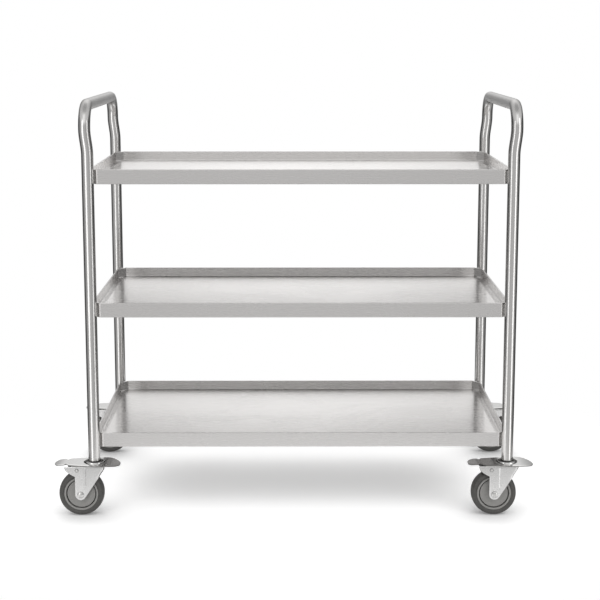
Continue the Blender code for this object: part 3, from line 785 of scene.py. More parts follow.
@dataclass(frozen=True)
class Finish:
    """What every finish shares: a name, the record's slot and one material."""

    name: str
    slot: Slot
    crevice_range: ClassVar[Pair] = (0.82, 0.42)
    crevice_samples: ClassVar[int] = 8

    def material(self) -> bpy.types.Material:
        """Return the finish's material, made on first use.

        Returns:
            The material.
        """
        found = bpy.data.materials.get(self.name)
        if found:
            return found
        made = bpy.data.materials.new(self.name)
        made.use_nodes = True
        skin = Skin(made.node_tree)
        skin.node("OutputMaterial", {"Surface": self.shader(skin).outputs[0]})
        return made

    def shader(self, skin: Skin) -> Node:
        """Return the shader node; each finish makes its own."""
        raise NotImplementedError

    def crevices(self, skin: Skin, reach: float) -> Socket:
        """Return how much a point is shut in by what stands within a reach, for painted shade there."""
        cover = skin.node("AmbientOcclusion", {"Distance": reach}, samples=self.crevice_samples)
        return skin.ranged(cover.outputs["AO"], *self.crevice_range)


@dataclass(frozen=True)
class Steel(Finish):
    """Bare metal in two colours, with a roughness that spreads to both sides of its mean."""

    colour: Colour
    dull_colour: Colour
    roughness: float
    roughness_spread: float

    def rough(self, skin: Skin, share: Socket) -> Socket:
        """Return the roughness, from the least at a share of 0 to the most at 1."""
        low, high = self.roughness - self.roughness_spread, self.roughness + self.roughness_spread
        return skin.ranged(share, 0.0, 1.0, low, high)


@dataclass(frozen=True)
class BrushedSteel(Steel):
    """Stainless steel with a fine straight grain, wiping haze and slight waves in the sheet."""

    grain_along: float
    grain_across: float
    grain_depth: float
    wave_size: float
    wave_depth: float
    anisotropy: float = 0.0
    edge_tint: float = 1.0
    grip_heights: Pair = (0.878, 0.903)
    grip_roughness: float = 0.0
    grip_shade: float = 0.0
    painted_under_shade: float = 0.0
    haze_size: ClassVar[float] = 5.0
    wave_detail: ClassVar[float] = 1.0
    line_colour_share: ClassVar[float] = 0.35
    line_rough_share: ClassVar[float] = 0.7
    haze_rough_share: ClassVar[float] = 0.3
    under_range: ClassVar[Pair] = (-0.4, -0.9)
    quarter_turn: ClassVar[float] = 0.25

    def shader(self, skin: Skin) -> Node:
        """Make brushed steel.

        The grain sets colour, roughness and bump, and the haze dulls it. The grip of a handle is
        duller and darker, and faces that look down get painted shade.

        Args:
            skin: The material's node tree.

        Returns:
            The shader node.
        """
        sizes = {"along": self.grain_along, "across": self.grain_across}
        grain = GRAIN.add(skin, map=skin.grain_map(), **sizes)
        lines = grain["Lines"]
        haze = SMUDGES.add(skin, place=skin.place, size=self.haze_size)["Haze"]
        lined = skin.times(lines, self.line_colour_share)
        colour = skin.mixed(lined, solid(self.colour), solid(self.dull_colour))
        dull = skin.math(
            "ADD", skin.times(lines, self.line_rough_share), skin.times(haze, self.haze_rough_share)
        )
        grip = skin.ranged(skin.split(skin.place)["Z"], *self.grip_heights)
        rough = skin.math("MULTIPLY_ADD", grip, self.grip_roughness, self.rough(skin, dull))
        # Painted shade on faces that look down.
        under = skin.ranged(skin.split(skin.normal)["Z"], *self.under_range, 0.0, self.painted_under_shade)
        shade = skin.math("MULTIPLY_ADD", grip, self.grip_shade, under)
        waves = skin.bump(skin.noise(skin.place, self.wave_size, self.wave_detail), self.wave_depth)
        along = skin.node("Tangent", direction_type="UV_MAP", uv_map=GRAIN_MAP)
        return skin.node(
            "BsdfPrincipled",
            {
                "Base Color": skin.mixed(shade, colour, BLACK),
                "Metallic": 1.0,
                "Roughness": rough,
                "Normal": skin.bump(lines, self.grain_depth, waves),
                "Specular Tint": grey(self.edge_tint),
                "Anisotropic": self.anisotropy,
                "Anisotropic Rotation": self.quarter_turn,
                "Tangent": along.outputs[0],
            },
        )


@dataclass(frozen=True)
class PlainSteel(Steel):
    """Pressed, polished or turned steel: speckle, haze, rubbed edges and a faint grain."""

    grain_along: float = 50.0
    grain_across: float = 2200.0
    grain_depth: float = 0.000003
    pit_depth: float = 0.000004
    haze_size: ClassVar[float] = 45.0
    speckle_size: ClassVar[float] = 1100.0
    haze_share: ClassVar[float] = 0.5
    painted_shade_colour: ClassVar[Colour] = (0.07, 0.068, 0.065)

    def painted_shade(self, skin: Skin) -> Socket | None:
        """Return how much painted shade the surface gets, or nothing where it gets none."""
        return None

    def shader(self, skin: Skin) -> Node:
        """Make steel whose dull patches are rougher, whose edges are rubbed and that may get painted
        shade.

        Args:
            skin: The material's node tree.

        Returns:
            The shader node.
        """
        sizes = {"along": self.grain_along, "across": self.grain_across}
        grain = GRAIN.add(skin, map=skin.grain_map(), **sizes)
        haze = SMUDGES.add(skin, place=skin.place, size=self.haze_size)["Haze"]
        speckle = SPECKLE.add(skin, place=skin.place, size=self.speckle_size)
        pointiness = skin.node("NewGeometry").outputs["Pointiness"]
        wear = EDGE_WEAR.add(skin, place=skin.place, pointiness=pointiness)["Wear"]
        dull = skin.times(skin.math("ADD", haze, speckle["Mask"]), self.haze_share)
        dull = skin.times(dull, skin.math("SUBTRACT", 1.0, wear))
        colour = skin.mixed(dull, solid(self.colour), solid(self.dull_colour))
        edge_tint = WHITE
        # Painted shade darkens the colour and takes the reflection's tint towards black.
        painted_shade = self.painted_shade(skin)
        if painted_shade is not None:
            colour = skin.mixed(painted_shade, colour, solid(self.painted_shade_colour))
            edge_tint = skin.mixed(painted_shade, WHITE, BLACK)
        pits = skin.bump(speckle["Pits"], self.pit_depth)
        return skin.node(
            "BsdfPrincipled",
            {
                "Base Color": colour,
                "Metallic": 1.0,
                "Roughness": self.rough(skin, dull),
                "Normal": skin.bump(grain["Lines"], self.grain_depth, pits),
                "Specular Tint": edge_tint,
            },
        )


@dataclass(frozen=True)
class PedalSteel(PlainSteel):
    """Polished plate with painted shade on its cut edges."""

    flat_range: ClassVar[Pair] = (0.85, 0.50)
    darkest: ClassVar[float] = 0.9

    def painted_shade(self, skin: Skin) -> Socket:
        """Return the painted shade of faces that look neither up nor down."""
        flatness = skin.math("ABSOLUTE", skin.split(skin.normal)["Z"])
        return skin.ranged(flatness, *self.flat_range, 0.0, self.darkest)


@dataclass(frozen=True)
class BeadSteel(PlainSteel):
    """Polished bead with painted shade above and below, which leaves a bright band round its middle."""

    bright_from: ClassVar[Pair] = (0.1178, 0.1188)
    bright_to: ClassVar[Pair] = (0.1212, 0.1224)
    dark_below: ClassVar[float] = 0.9
    dark_above: ClassVar[float] = 0.8

    def painted_shade(self, skin: Skin) -> Socket:
        """Make the painted shade below and above the bright band.

        Args:
            skin: The material's node tree.

        Returns:
            How much painted shade the bead gets.
        """
        height = skin.split(skin.place)["Z"]
        below = skin.ranged(height, *self.bright_from, self.dark_below, 0.0)
        above = skin.ranged(height, *self.bright_to, 0.0, self.dark_above)
        return skin.larger(below, above)


@dataclass(frozen=True)
class ForkSteel(PlainSteel):
    """Pressed fork with painted shade round its swivel, round its rivet, in its corners and on its inner
    faces.
    """

    swivel_shade_radius: ClassVar[float] = 0.0250
    swivel_shade_fade: ClassVar[float] = 0.0010
    level_range: ClassVar[Pair] = (0.5, 0.8)
    inward_range: ClassVar[Pair] = (0.86, 0.62)
    upright_range: ClassVar[Pair] = (0.45, 0.20)
    rivet_shade_radii: ClassVar[Pair] = (0.0047, 0.0037)
    crevice_shade_reach: ClassVar[float] = 0.0035
    darkest: ClassVar[float] = 0.9

    def painted_shade(self, skin: Skin) -> Socket:
        """Make the strongest of the painted shades: a ring round the swivel, a ring round the rivet, shade
        in corners and on the faces that look inwards.

        The place beside the nearest leg's axis is the size of X and Y less the leg's. A face
        looks outwards by its normal's Y times the signs of Y and of the place beside the axis.

        Args:
            skin: The material's node tree.

        Returns:
            How far the fork is stained.
        """
        spot, facing = skin.split(skin.place), skin.split(skin.normal)
        beside_x = skin.math("SUBTRACT", skin.math("ABSOLUTE", spot["X"]), LEG_X)
        beside_y = skin.math("SUBTRACT", skin.math("ABSOLUTE", spot["Y"]), LEG_Y)
        radius = skin.distance(beside_x, beside_y)
        # Painted shade in a ring on the crown round the swivel, under the cap and pedal.
        swivel_shade = skin.ranged(radius, self.swivel_shade_radius, self.swivel_shade_radius - self.swivel_shade_fade)
        swivel_shade = skin.times(swivel_shade, skin.ranged(facing["Z"], *self.level_range))
        # Painted shade on the faces that look inwards.
        outward = skin.times(facing["Y"], skin.math("SIGN", spot["Y"]))
        outward = skin.times(outward, skin.math("SIGN", beside_y))
        inside = skin.ranged(outward, *self.inward_range)
        inside = skin.times(inside, skin.ranged(facing["Z"], *self.upright_range))
        # Painted shade in a ring round the rivet's head.
        from_rivet = skin.math("SUBTRACT", skin.math("ABSOLUTE", beside_x), PIVOT_X)
        above_rivet = skin.math("SUBTRACT", spot["Z"], PIVOT_Z)
        rivet_shade = skin.ranged(skin.distance(from_rivet, above_rivet), *self.rivet_shade_radii)
        crevice_shade = skin.larger(rivet_shade, self.crevices(skin, self.crevice_shade_reach))
        return skin.times(skin.larger(skin.larger(swivel_shade, inside), crevice_shade), self.darkest)


@dataclass(frozen=True)
class Moulded(Finish):
    """Rubber or plastic from a mould: mottled colour, a matt skin, rubbed edges, dust and painted shade in
    its corners.
    """

    colour: Colour
    dark_colour: Colour
    worn_colour: Colour
    dust_colour: Colour
    crevice_shade_colour: Colour
    roughness: float
    dust: float
    skin_size: float
    skin_depth: float
    haze_size: ClassVar[float] = 60.0
    worn_share: ClassVar[float] = 0.5
    crevice_shade_share: ClassVar[float] = 0.8
    crevice_shade_reach: ClassVar[float] = 0.003
    haze_rough_share: ClassVar[float] = 0.5
    rough_rise: ClassVar[float] = 0.25

    def shader(self, skin: Skin) -> Node:
        """Make a moulded skin: mottled, then rubbed at its edges, dusted and given painted shade in its
        corners.

        Args:
            skin: The material's node tree.

        Returns:
            The shader node.
        """
        haze = SMUDGES.add(skin, place=skin.place, size=self.haze_size)["Haze"]
        speckle = SPECKLE.add(skin, place=skin.place, size=self.skin_size)
        geometry = skin.node("NewGeometry").outputs
        edges = EDGE_WEAR.add(skin, place=skin.place, pointiness=geometry["Pointiness"])
        dust = DUST.add(skin, place=skin.place, normal=geometry["Normal"])["Dust"]
        dust = skin.times(dust, self.dust)
        # Painted shade in hollows and corners, from pointiness and ambient occlusion.
        crevice_shade = skin.larger(edges["CreviceShade"], self.crevices(skin, self.crevice_shade_reach))
        colour = skin.mixed(haze, solid(self.colour), solid(self.dark_colour))
        for share, layer in (
            (skin.times(edges["Wear"], self.worn_share), self.worn_colour),
            (dust, self.dust_colour),
            (skin.times(crevice_shade, self.crevice_shade_share), self.crevice_shade_colour),
        ):
            colour = skin.mixed(share, colour, solid(layer))
        dull = skin.math("ADD", dust, skin.times(haze, self.haze_rough_share))
        rough = skin.ranged(dull, 0.0, 1.0, self.roughness, self.roughness + self.rough_rise)
        pits = skin.bump(speckle["Pits"], self.skin_depth)
        return skin.node("BsdfPrincipled", {"Base Color": colour, "Roughness": rough, "Normal": pits})


TUBE_STEEL = BrushedSteel(
    name="polished_tube",
    slot=Slot.TUBE,
    colour=(0.70, 0.69, 0.68),
    dull_colour=(0.63, 0.62, 0.61),
    roughness=0.20,
    roughness_spread=0.04,
    grain_along=40.0,
    grain_across=2600.0,
    grain_depth=0.000004,
    wave_size=9.0,
    wave_depth=0.0001,
    edge_tint=0.62,
    grip_roughness=0.13,
    grip_shade=0.14,
)
SHEET_STEEL = BrushedSteel(
    name="brushed_sheet",
    slot=Slot.SHEET,
    colour=(0.755, 0.74, 0.73),
    dull_colour=(0.69, 0.675, 0.665),
    roughness=0.27,
    roughness_spread=0.02,
    grain_along=14.0,
    grain_across=1800.0,
    grain_depth=0.000003,
    wave_size=5.0,
    wave_depth=0.00004,
    anisotropy=1.0,
    painted_under_shade=0.55,
)
WELD_STEEL = PlainSteel(
    name="weld_bead",
    slot=Slot.SHEET,
    colour=(0.46, 0.455, 0.445),
    dull_colour=(0.30, 0.295, 0.29),
    roughness=0.38,
    roughness_spread=0.10,
    grain_along=0.0,
    grain_across=900.0,
    grain_depth=0.00001,
    pit_depth=0.00003,
)
PRESSED_STEEL = ForkSteel(
    name="satin_pressed_steel",
    slot=Slot.PRESSED,
    colour=(0.70, 0.695, 0.69),
    dull_colour=(0.58, 0.575, 0.57),
    roughness=0.30,
    roughness_spread=0.08,
    grain_along=60.0,
    grain_across=1500.0,
    grain_depth=0.000006,
    pit_depth=0.00001,
)
POLISHED_STEEL = PlainSteel(
    name="polished_steel_plate",
    slot=Slot.POLISHED,
    colour=(0.80, 0.795, 0.785),
    dull_colour=(0.70, 0.695, 0.685),
    roughness=0.14,
    roughness_spread=0.06,
)
BEAD_STEEL = BeadSteel(
    name="polished_bead",
    slot=Slot.POLISHED,
    colour=(0.90, 0.895, 0.885),
    dull_colour=(0.80, 0.795, 0.785),
    roughness=0.12,
    roughness_spread=0.05,
)
PEDAL_STEEL = PedalSteel(
    name="polished_pedal_steel",
    slot=Slot.POLISHED,
    colour=(0.75, 0.745, 0.735),
    dull_colour=(0.66, 0.655, 0.645),
    roughness=0.13,
    roughness_spread=0.05,
)
TURNED_STEEL = PlainSteel(
    name="turned_steel_bolt",
    slot=Slot.TURNED,
    colour=(0.66, 0.655, 0.645),
    dull_colour=(0.50, 0.495, 0.485),
    roughness=0.27,
    roughness_spread=0.08,
    grain_along=0.0,
    grain_across=4000.0,
    grain_depth=0.00001,
    pit_depth=0.000006,
)
TYRE_RUBBER = Moulded(
    name="grey_tyre_rubber",
    slot=Slot.TYRE,
    colour=(0.086, 0.084, 0.079),
    dark_colour=(0.060, 0.058, 0.055),
    worn_colour=(0.20, 0.195, 0.185),
    dust_colour=(0.30, 0.29, 0.27),
    crevice_shade_colour=(0.04, 0.038, 0.035),
    roughness=0.55,
    dust=0.18,
    skin_size=1500.0,
    skin_depth=0.00003,
)
SHOE_RUBBER = Moulded(
    name="black_shoe_rubber",
    slot=Slot.SHOE,
    colour=(0.045, 0.045, 0.045),
    dark_colour=(0.03, 0.03, 0.03),
    worn_colour=(0.10, 0.10, 0.10),
    dust_colour=(0.20, 0.19, 0.18),
    crevice_shade_colour=(0.02, 0.02, 0.02),
    roughness=0.6,
    dust=0.2,
    skin_size=1400.0,
    skin_depth=0.00003,
)
HUB_PLASTIC = Moulded(
    name="grey_hub_plastic",
    slot=Slot.HUB,
    colour=(0.34, 0.335, 0.32),
    dark_colour=(0.29, 0.285, 0.275),
    worn_colour=(0.50, 0.495, 0.48),
    dust_colour=(0.42, 0.41, 0.39),
    crevice_shade_colour=(0.06, 0.058, 0.055),
    roughness=0.42,
    dust=0.12,
    skin_size=1200.0,
    skin_depth=0.00002,
)
BUSH_PLASTIC = Moulded(
    name="pale_bush_plastic",
    slot=Slot.BUSH,
    colour=(0.62, 0.60, 0.54),
    dark_colour=(0.56, 0.54, 0.48),
    worn_colour=(0.72, 0.70, 0.64),
    dust_colour=(0.50, 0.48, 0.44),
    crevice_shade_colour=(0.20, 0.19, 0.17),
    roughness=0.45,
    dust=0.1,
    skin_size=1200.0,
    skin_depth=0.00001,
)


# Frame of the cart


@dataclass(frozen=True)
class Place:
    """Where a group of pieces stands: an origin and a heading about Z."""

    origin: tuple[float, float, float]
    heading: float

    def put(self, points: np.ndarray) -> np.ndarray:
        """Turn points about Z by the heading and move them to the origin.

        Args:
            points: Points along all axes but the last.

        Returns:
            The points in their place.
        """
        cosine, sine = math.cos(self.heading), math.sin(self.heading)
        x, y, z = points[..., 0], points[..., 1], points[..., 2]
        return np.stack([cosine * x - sine * y, sine * x + cosine * y, z], axis=-1) + self.origin


@dataclass(frozen=True)
class Hoop:
    """One bent tube: a front leg, the handle and a rear leg, open at both feet."""

    leg_x: float = LEG_X
    leg_y: float = LEG_Y
    foot_z: float = 0.1231
    radius: float = TUBE_RADIUS
    wall: float = 0.0012
    outset: float = 0.005
    outset_start_z: float = 0.79896
    bend_start_z: float = 0.854
    bend_radius: float = 0.050
    lip: float = 0.0003
    sides: int = 72
    leg_steps: tuple[int, int] = (12, 16)
    bend_steps: int = 24

    def centre_line(self, side: int) -> np.ndarray:
        """Work out the tube's centre line.

        The front leg rises straight, eases outwards by a smooth step and turns through a quarter
        circle into the handle; the rear half mirrors the front.

        Args:
            side: -1 for the left hoop and 1 for the right one.

        Returns:
            The points of the line.
        """
        knots = np.array([self.foot_z, self.outset_start_z, self.bend_start_z])
        heights = steps_between(knots, self.leg_steps)
        x = self.outset * eased(heights, self.outset_start_z, self.bend_start_z)
        leg = np.stack([x, np.full_like(heights, -self.leg_y), heights], axis=-1)
        centre = (-self.leg_y + self.bend_radius, self.bend_start_z)
        angles = np.linspace(math.pi, math.pi / 2, self.bend_steps + 1)[1:]
        quarter = arc(centre, self.bend_radius, angles)
        bend = np.concatenate([np.full((len(quarter), 1), self.outset), quarter], axis=1)
        front = np.concatenate([leg, bend])
        line = np.concatenate([front, front[::-1] * (1.0, -1.0, 1.0)])
        line[:, 0] = side * (self.leg_x + line[:, 0])
        return line

    def surface(self, side: int) -> Shell:
        """Make the tube's outer and inner wall as one closed surface.

        A circle of each wall is carried along the line, square to it; small lips round the feet.

        Args:
            side: -1 for the left hoop and 1 for the right one.

        Returns:
            The surface.
        """
        line = self.centre_line(side)
        tangent = unit(np.gradient(line, axis=0))
        across = unit(np.array([1.0, 0.0, 0.0]) - tangent[:, :1] * tangent)
        ahead = np.cross(tangent, across)
        rows = np.pad(np.arange(len(line)), 1, mode="edge")
        outer = np.full(len(rows), self.radius)
        outer[[0, -1]] -= self.lip
        inner = np.full(len(rows), self.radius - self.wall)
        inner[[0, -1]] += self.lip
        lift = np.zeros(len(rows))
        lift[[1, -2]] = self.lip
        order = np.concatenate([rows, rows[::-1]])
        radius = np.concatenate([outer, inner])
        angles = np.arange(self.sides) * (FULL_TURN / self.sides)
        ring = (
            np.cos(angles)[None, :, None] * across[order][:, None, :]
            + np.sin(angles)[None, :, None] * ahead[order][:, None, :]
        )
        points = line[order][:, None, :] + radius[:, None, None] * ring
        points[..., 2] += np.concatenate([lift, lift])[:, None]
        return Shell().grid(points, close_rows=True, close_columns=True, grain_down_rows=True)

    def build(self, name: str, side: int) -> None:
        """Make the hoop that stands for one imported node."""
        make_piece(f"{name}_tube", self.surface(side), Body.FRAME.value, TUBE_STEEL, (name,))


@dataclass(frozen=True)
class Tray:
    """One tray folded from sheet: a sunk floor, a double rim and a return below."""

    leg_x: float = LEG_X
    leg_y: float = LEG_Y
    tube_radius: float = TUBE_RADIUS
    fit_gap: float = FIT_GAP
    sheet: float = 0.001
    rim_height: float = 0.032
    rim_thickness: float = 0.0038
    hem_radius: float = 0.0014
    floor_above_foot: float = 0.0095
    floor_bend: float = 0.0035
    foot_bend: float = 0.0013
    rim_return: float = 0.007
    corner_round: float = 0.0016
    least_round: float = 0.0004
    floor_margin: float = 0.012
    bend_points: int = 9
    corner_points: int = 5

    def section(self, rim_top: float) -> np.ndarray:
        """Work out the sheet's section.

        The middle line runs from the floor up the inner wall, over the hem, down the outer wall
        and in along the return. The two faces lie half the sheet's thickness to its sides.

        Args:
            rim_top: Height of the rim's top.

        Returns:
            A closed outline of inset from the tray's outer faces and height.
        """
        half = self.sheet / 2
        foot = rim_top - self.rim_height
        floor = foot + self.floor_above_foot - half
        wall = self.rim_thickness - half
        corners = [
            (wall + self.floor_margin, floor, 0.0),
            (wall, floor, self.floor_bend),
            (wall, rim_top - half, self.hem_radius),
            (half, rim_top - half, self.hem_radius),
            (half, foot + half, self.foot_bend),
            (half + self.rim_return, foot + half, 0.0),
        ]
        line = profile(corners, self.bend_points, False)
        tangent = unit(np.gradient(line, axis=0))
        normal = np.stack([-tangent[:, 1], tangent[:, 0]], axis=-1)
        return np.concatenate([line - half * normal, (line + half * normal)[::-1]])

    def rings(self, section: np.ndarray) -> np.ndarray:
        """Carry the section round the tray's outline.

        The outline is a rectangle with its corners cut at 45 degrees where the legs stand. Every
        side moves in by the inset, so the cut's leg shrinks by the inset times 2 less root 2.

        Args:
            section: Pairs of inset and height.

        Returns:
            A grid of points, one ring for each point of the section.
        """
        inset = section[:, 0]
        reach_x = self.leg_x - inset
        reach_y = self.leg_y - inset
        cut = math.sqrt(2) * (self.tube_radius + self.fit_gap) - inset * (2 - math.sqrt(2))
        quarter = [(reach_x, reach_y - cut), (reach_x - cut, reach_y)]
        corners = [
            np.stack([sign_x * x, sign_y * y], axis=-1)
            for sign_x, sign_y in ((1, 1), (-1, 1), (-1, -1), (1, -1))
            for x, y in (quarter if sign_x == sign_y else quarter[::-1])
        ]
        rounding = np.maximum(self.corner_round - inset, self.least_round)[:, None]
        flat = filleted(np.stack(corners, axis=1), rounding, self.corner_points, True)
        height = np.broadcast_to(section[:, None, 1:], (*flat.shape[:2], 1))
        return np.concatenate([flat, height], axis=-1)

    def build(self, name: str, rim_top: float) -> None:
        """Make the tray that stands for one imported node.

        Args:
            name: The node's name.
            rim_top: Height of the rim's top.
        """
        rings = self.rings(self.section(rim_top))
        shell = Shell().grid(rings, close_columns=True).cap(rings[0]).cap(rings[-1])
        make_piece(f"{name}_pan", shell, Body.FRAME.value, SHEET_STEEL, (name,))


@dataclass(frozen=True)
class TrayWelds:
    """The weld beads that join a tray's cut corners to the legs, two at each leg."""

    leg_x: float = LEG_X
    leg_y: float = LEG_Y
    offset: float = 0.0062
    inward: float = 0.0122
    radius: float = 0.0013
    height: float = 0.029
    below_rim: float = 0.002
    ripple: float = 0.0019
    thinnest: float = 0.85
    ripple_share: float = 0.25
    sides: int = 12
    rings: int = 76

    def bead(self, across: float) -> np.ndarray:
        """Work out one bead beside the touch line of leg and tray.

        The bead's radius swells with the absolute sine of the height over the ripple and closes
        at both ends as the root of one less the fourth power of the share from its middle.

        Args:
            across: Signed distance from the touch line.

        Returns:
            A grid of points; X points from the leg's axis to the tray, Z up from the bead's foot.
        """
        share = np.linspace(-1.0, 1.0, self.rings)
        height = (share + 1) / 2 * self.height
        swell = self.thinnest + self.ripple_share * np.abs(np.sin(math.pi * height / self.ripple))
        radius = self.radius * swell * np.sqrt(np.clip(1 - share**4, 0.0, 1.0))
        points = turned(np.stack([radius, height], axis=-1), self.sides)
        return points + (self.inward, across, 0.0)

    def build(self, name: str, rim_top: float) -> None:
        """Make the eight beads of one tray as one piece.

        Args:
            name: The tray's name.
            rim_top: Height of its rim's top.
        """
        shell = Shell()
        foot = rim_top - self.height - self.below_rim
        for x, y in ((-1, -1), (-1, 1), (1, -1), (1, 1)):
            place = Place((x * self.leg_x, y * self.leg_y, foot), math.atan2(-y, -x))
            for across in (-self.offset, self.offset):
                shell.grid(place.put(self.bead(across)), close_columns=True)
        make_piece(f"{name}_welds", shell, Body.FRAME.value, WELD_STEEL)


# Casters


@dataclass(frozen=True)
class Corner:
    """One corner of the cart: its name, where its leg stands and the way that its wheel trails."""

    name: str
    place: Place

    def make(
        self,
        piece: str,
        shell: Shell,
        body: Body,
        finish: Finish,
        node: str = "",
        work: SheetWork | None = None,
    ) -> None:
        """Put a surface that is drawn in the caster's frame in its place, and finish it.

        Args:
            piece: The piece's name, without the corner's.
            shell: Its surface.
            body: The body it rides on.
            finish: Its finish.
            node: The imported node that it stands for, without the corner's name.
            work: Its thickness, holes and edges.
        """
        rides = body.value if body is Body.FRAME else f"{self.name}_{body.value}"
        nodes = (f"{self.name}_{node}",) if node else ()
        make_piece(f"{self.name}_{piece}", shell.place(self.place.put), rides, finish, nodes, work)


@dataclass(frozen=True)
class Swivel:
    """What stands still above a fork, and the bearing under its crown."""

    kingpin_radius: float = 0.006
    head_radius: float = 0.0125
    head_bottom_z: float = 0.1044
    head_top_z: float = 0.1074
    kingpin_top_z: float = 0.1711
    bearing_radius: float = 0.0155
    bearing_bottom_z: float = 0.1077
    bearing_top_z: float = 0.1127
    groove_depth: float = 0.0007
    groove_half: float = 0.0005
    neck_radius: float = 0.0155
    bead_radius: float = 0.021
    bead_angle_deg: float = 74.0
    cap_bottom_z: float = 0.1166
    cap_top_z: float = 0.1228
    plug_radius: float = 0.01107
    plug_bottom_z: float = 0.1231
    plug_top_z: float = 0.1631
    grip_length: float = 0.012
    grip_slope: float = 0.0015
    grip_depth: float = 0.0008
    fit_gap: float = FIT_GAP
    running_gap: float = 0.0006

    def kingpin(self) -> Shell:
        """Make the kingpin: a flat round head and a shank that rises into the leg.

        Returns:
            Its surface.
        """
        corners = [
            (0.0, self.kingpin_top_z, 0.0),
            (self.kingpin_radius, self.kingpin_top_z, 0.001),
            (self.kingpin_radius, self.head_top_z, 0.0003),
            (self.head_radius, self.head_top_z, 0.0004),
            (self.head_radius, self.head_bottom_z, 0.0012),
            (0.0, self.head_bottom_z, 0.0),
        ]
        return solid_shell(profile(corners, 6, False), 64)

    def bearing(self) -> Shell:
        """Make the bearing's ring, with a shallow groove round its outside.

        Returns:
            Its surface.
        """
        bore = self.kingpin_radius + self.running_gap
        middle = (self.bearing_bottom_z + self.bearing_top_z) / 2
        corners = [
            (bore, self.bearing_bottom_z, 0.0003),
            (self.bearing_radius, self.bearing_bottom_z, 0.0003),
            (self.bearing_radius, middle - self.groove_half, 0.0003),
            (self.bearing_radius - self.groove_depth, middle, 0.0003),
            (self.bearing_radius, middle + self.groove_half, 0.0003),
            (self.bearing_radius, self.bearing_top_z, 0.0003),
            (bore, self.bearing_top_z, 0.0003),
        ]
        return ring_shell(profile(corners, 4, True))

    def cap(self) -> Shell:
        """Make the cap: a full round bead on a neck, hollowed a little under the leg's end.

        Returns:
            Its surface.
        """
        bore = self.kingpin_radius + self.fit_gap
        half = (self.cap_top_z - self.cap_bottom_z) / 2
        angles = np.radians(np.linspace(-self.bead_angle_deg, self.bead_angle_deg, 21))
        bead = arc((self.bead_radius - half, self.cap_bottom_z + half), half, angles)
        under = [(bore, self.cap_bottom_z), (self.neck_radius + 0.0006, self.cap_bottom_z)]
        over = [
            (self.neck_radius + 0.0012, self.cap_top_z - 0.0009),
            (self.neck_radius, self.cap_top_z - 0.0004),
            (self.neck_radius - 0.0005, self.cap_top_z),
            (bore, self.cap_top_z),
        ]
        return ring_shell(np.concatenate([under, bead, over]))

    def plug(self) -> Shell:
        """Make the plug that fills the leg's end, with a grip ring at each end of it.

        Returns:
            Its surface.
        """
        bore = self.kingpin_radius + self.fit_gap
        waist = self.plug_radius - self.grip_depth
        to_waist = self.grip_length + self.grip_slope
        corners = [
            (bore, self.plug_bottom_z, 0.0006),
            (self.plug_radius, self.plug_bottom_z, 0.0006),
            (self.plug_radius, self.plug_bottom_z + self.grip_length, 0.0006),
            (waist, self.plug_bottom_z + to_waist, 0.0006),
            (waist, self.plug_top_z - to_waist, 0.0006),
            (self.plug_radius, self.plug_top_z - self.grip_length, 0.0006),
            (self.plug_radius, self.plug_top_z, 0.0006),
            (bore, self.plug_top_z, 0.0006),
        ]
        return ring_shell(profile(corners, 4, True), 64)

    def build(self, corner: Corner) -> None:
        """Make the swivel's four pieces at one corner.

        Args:
            corner: The corner that they stand at.
        """
        for node, shell, body, finish in (
            ("kingpin", self.kingpin(), Body.FRAME, TURNED_STEEL),
            ("tube_plug", self.plug(), Body.FRAME, BUSH_PLASTIC),
            ("swivel_cap", self.cap(), Body.FRAME, BEAD_STEEL),
            ("swivel_bearing", self.bearing(), Body.SWIVEL, TURNED_STEEL),
        ):
            corner.make(f"{node}_turned", shell, body, finish, node)


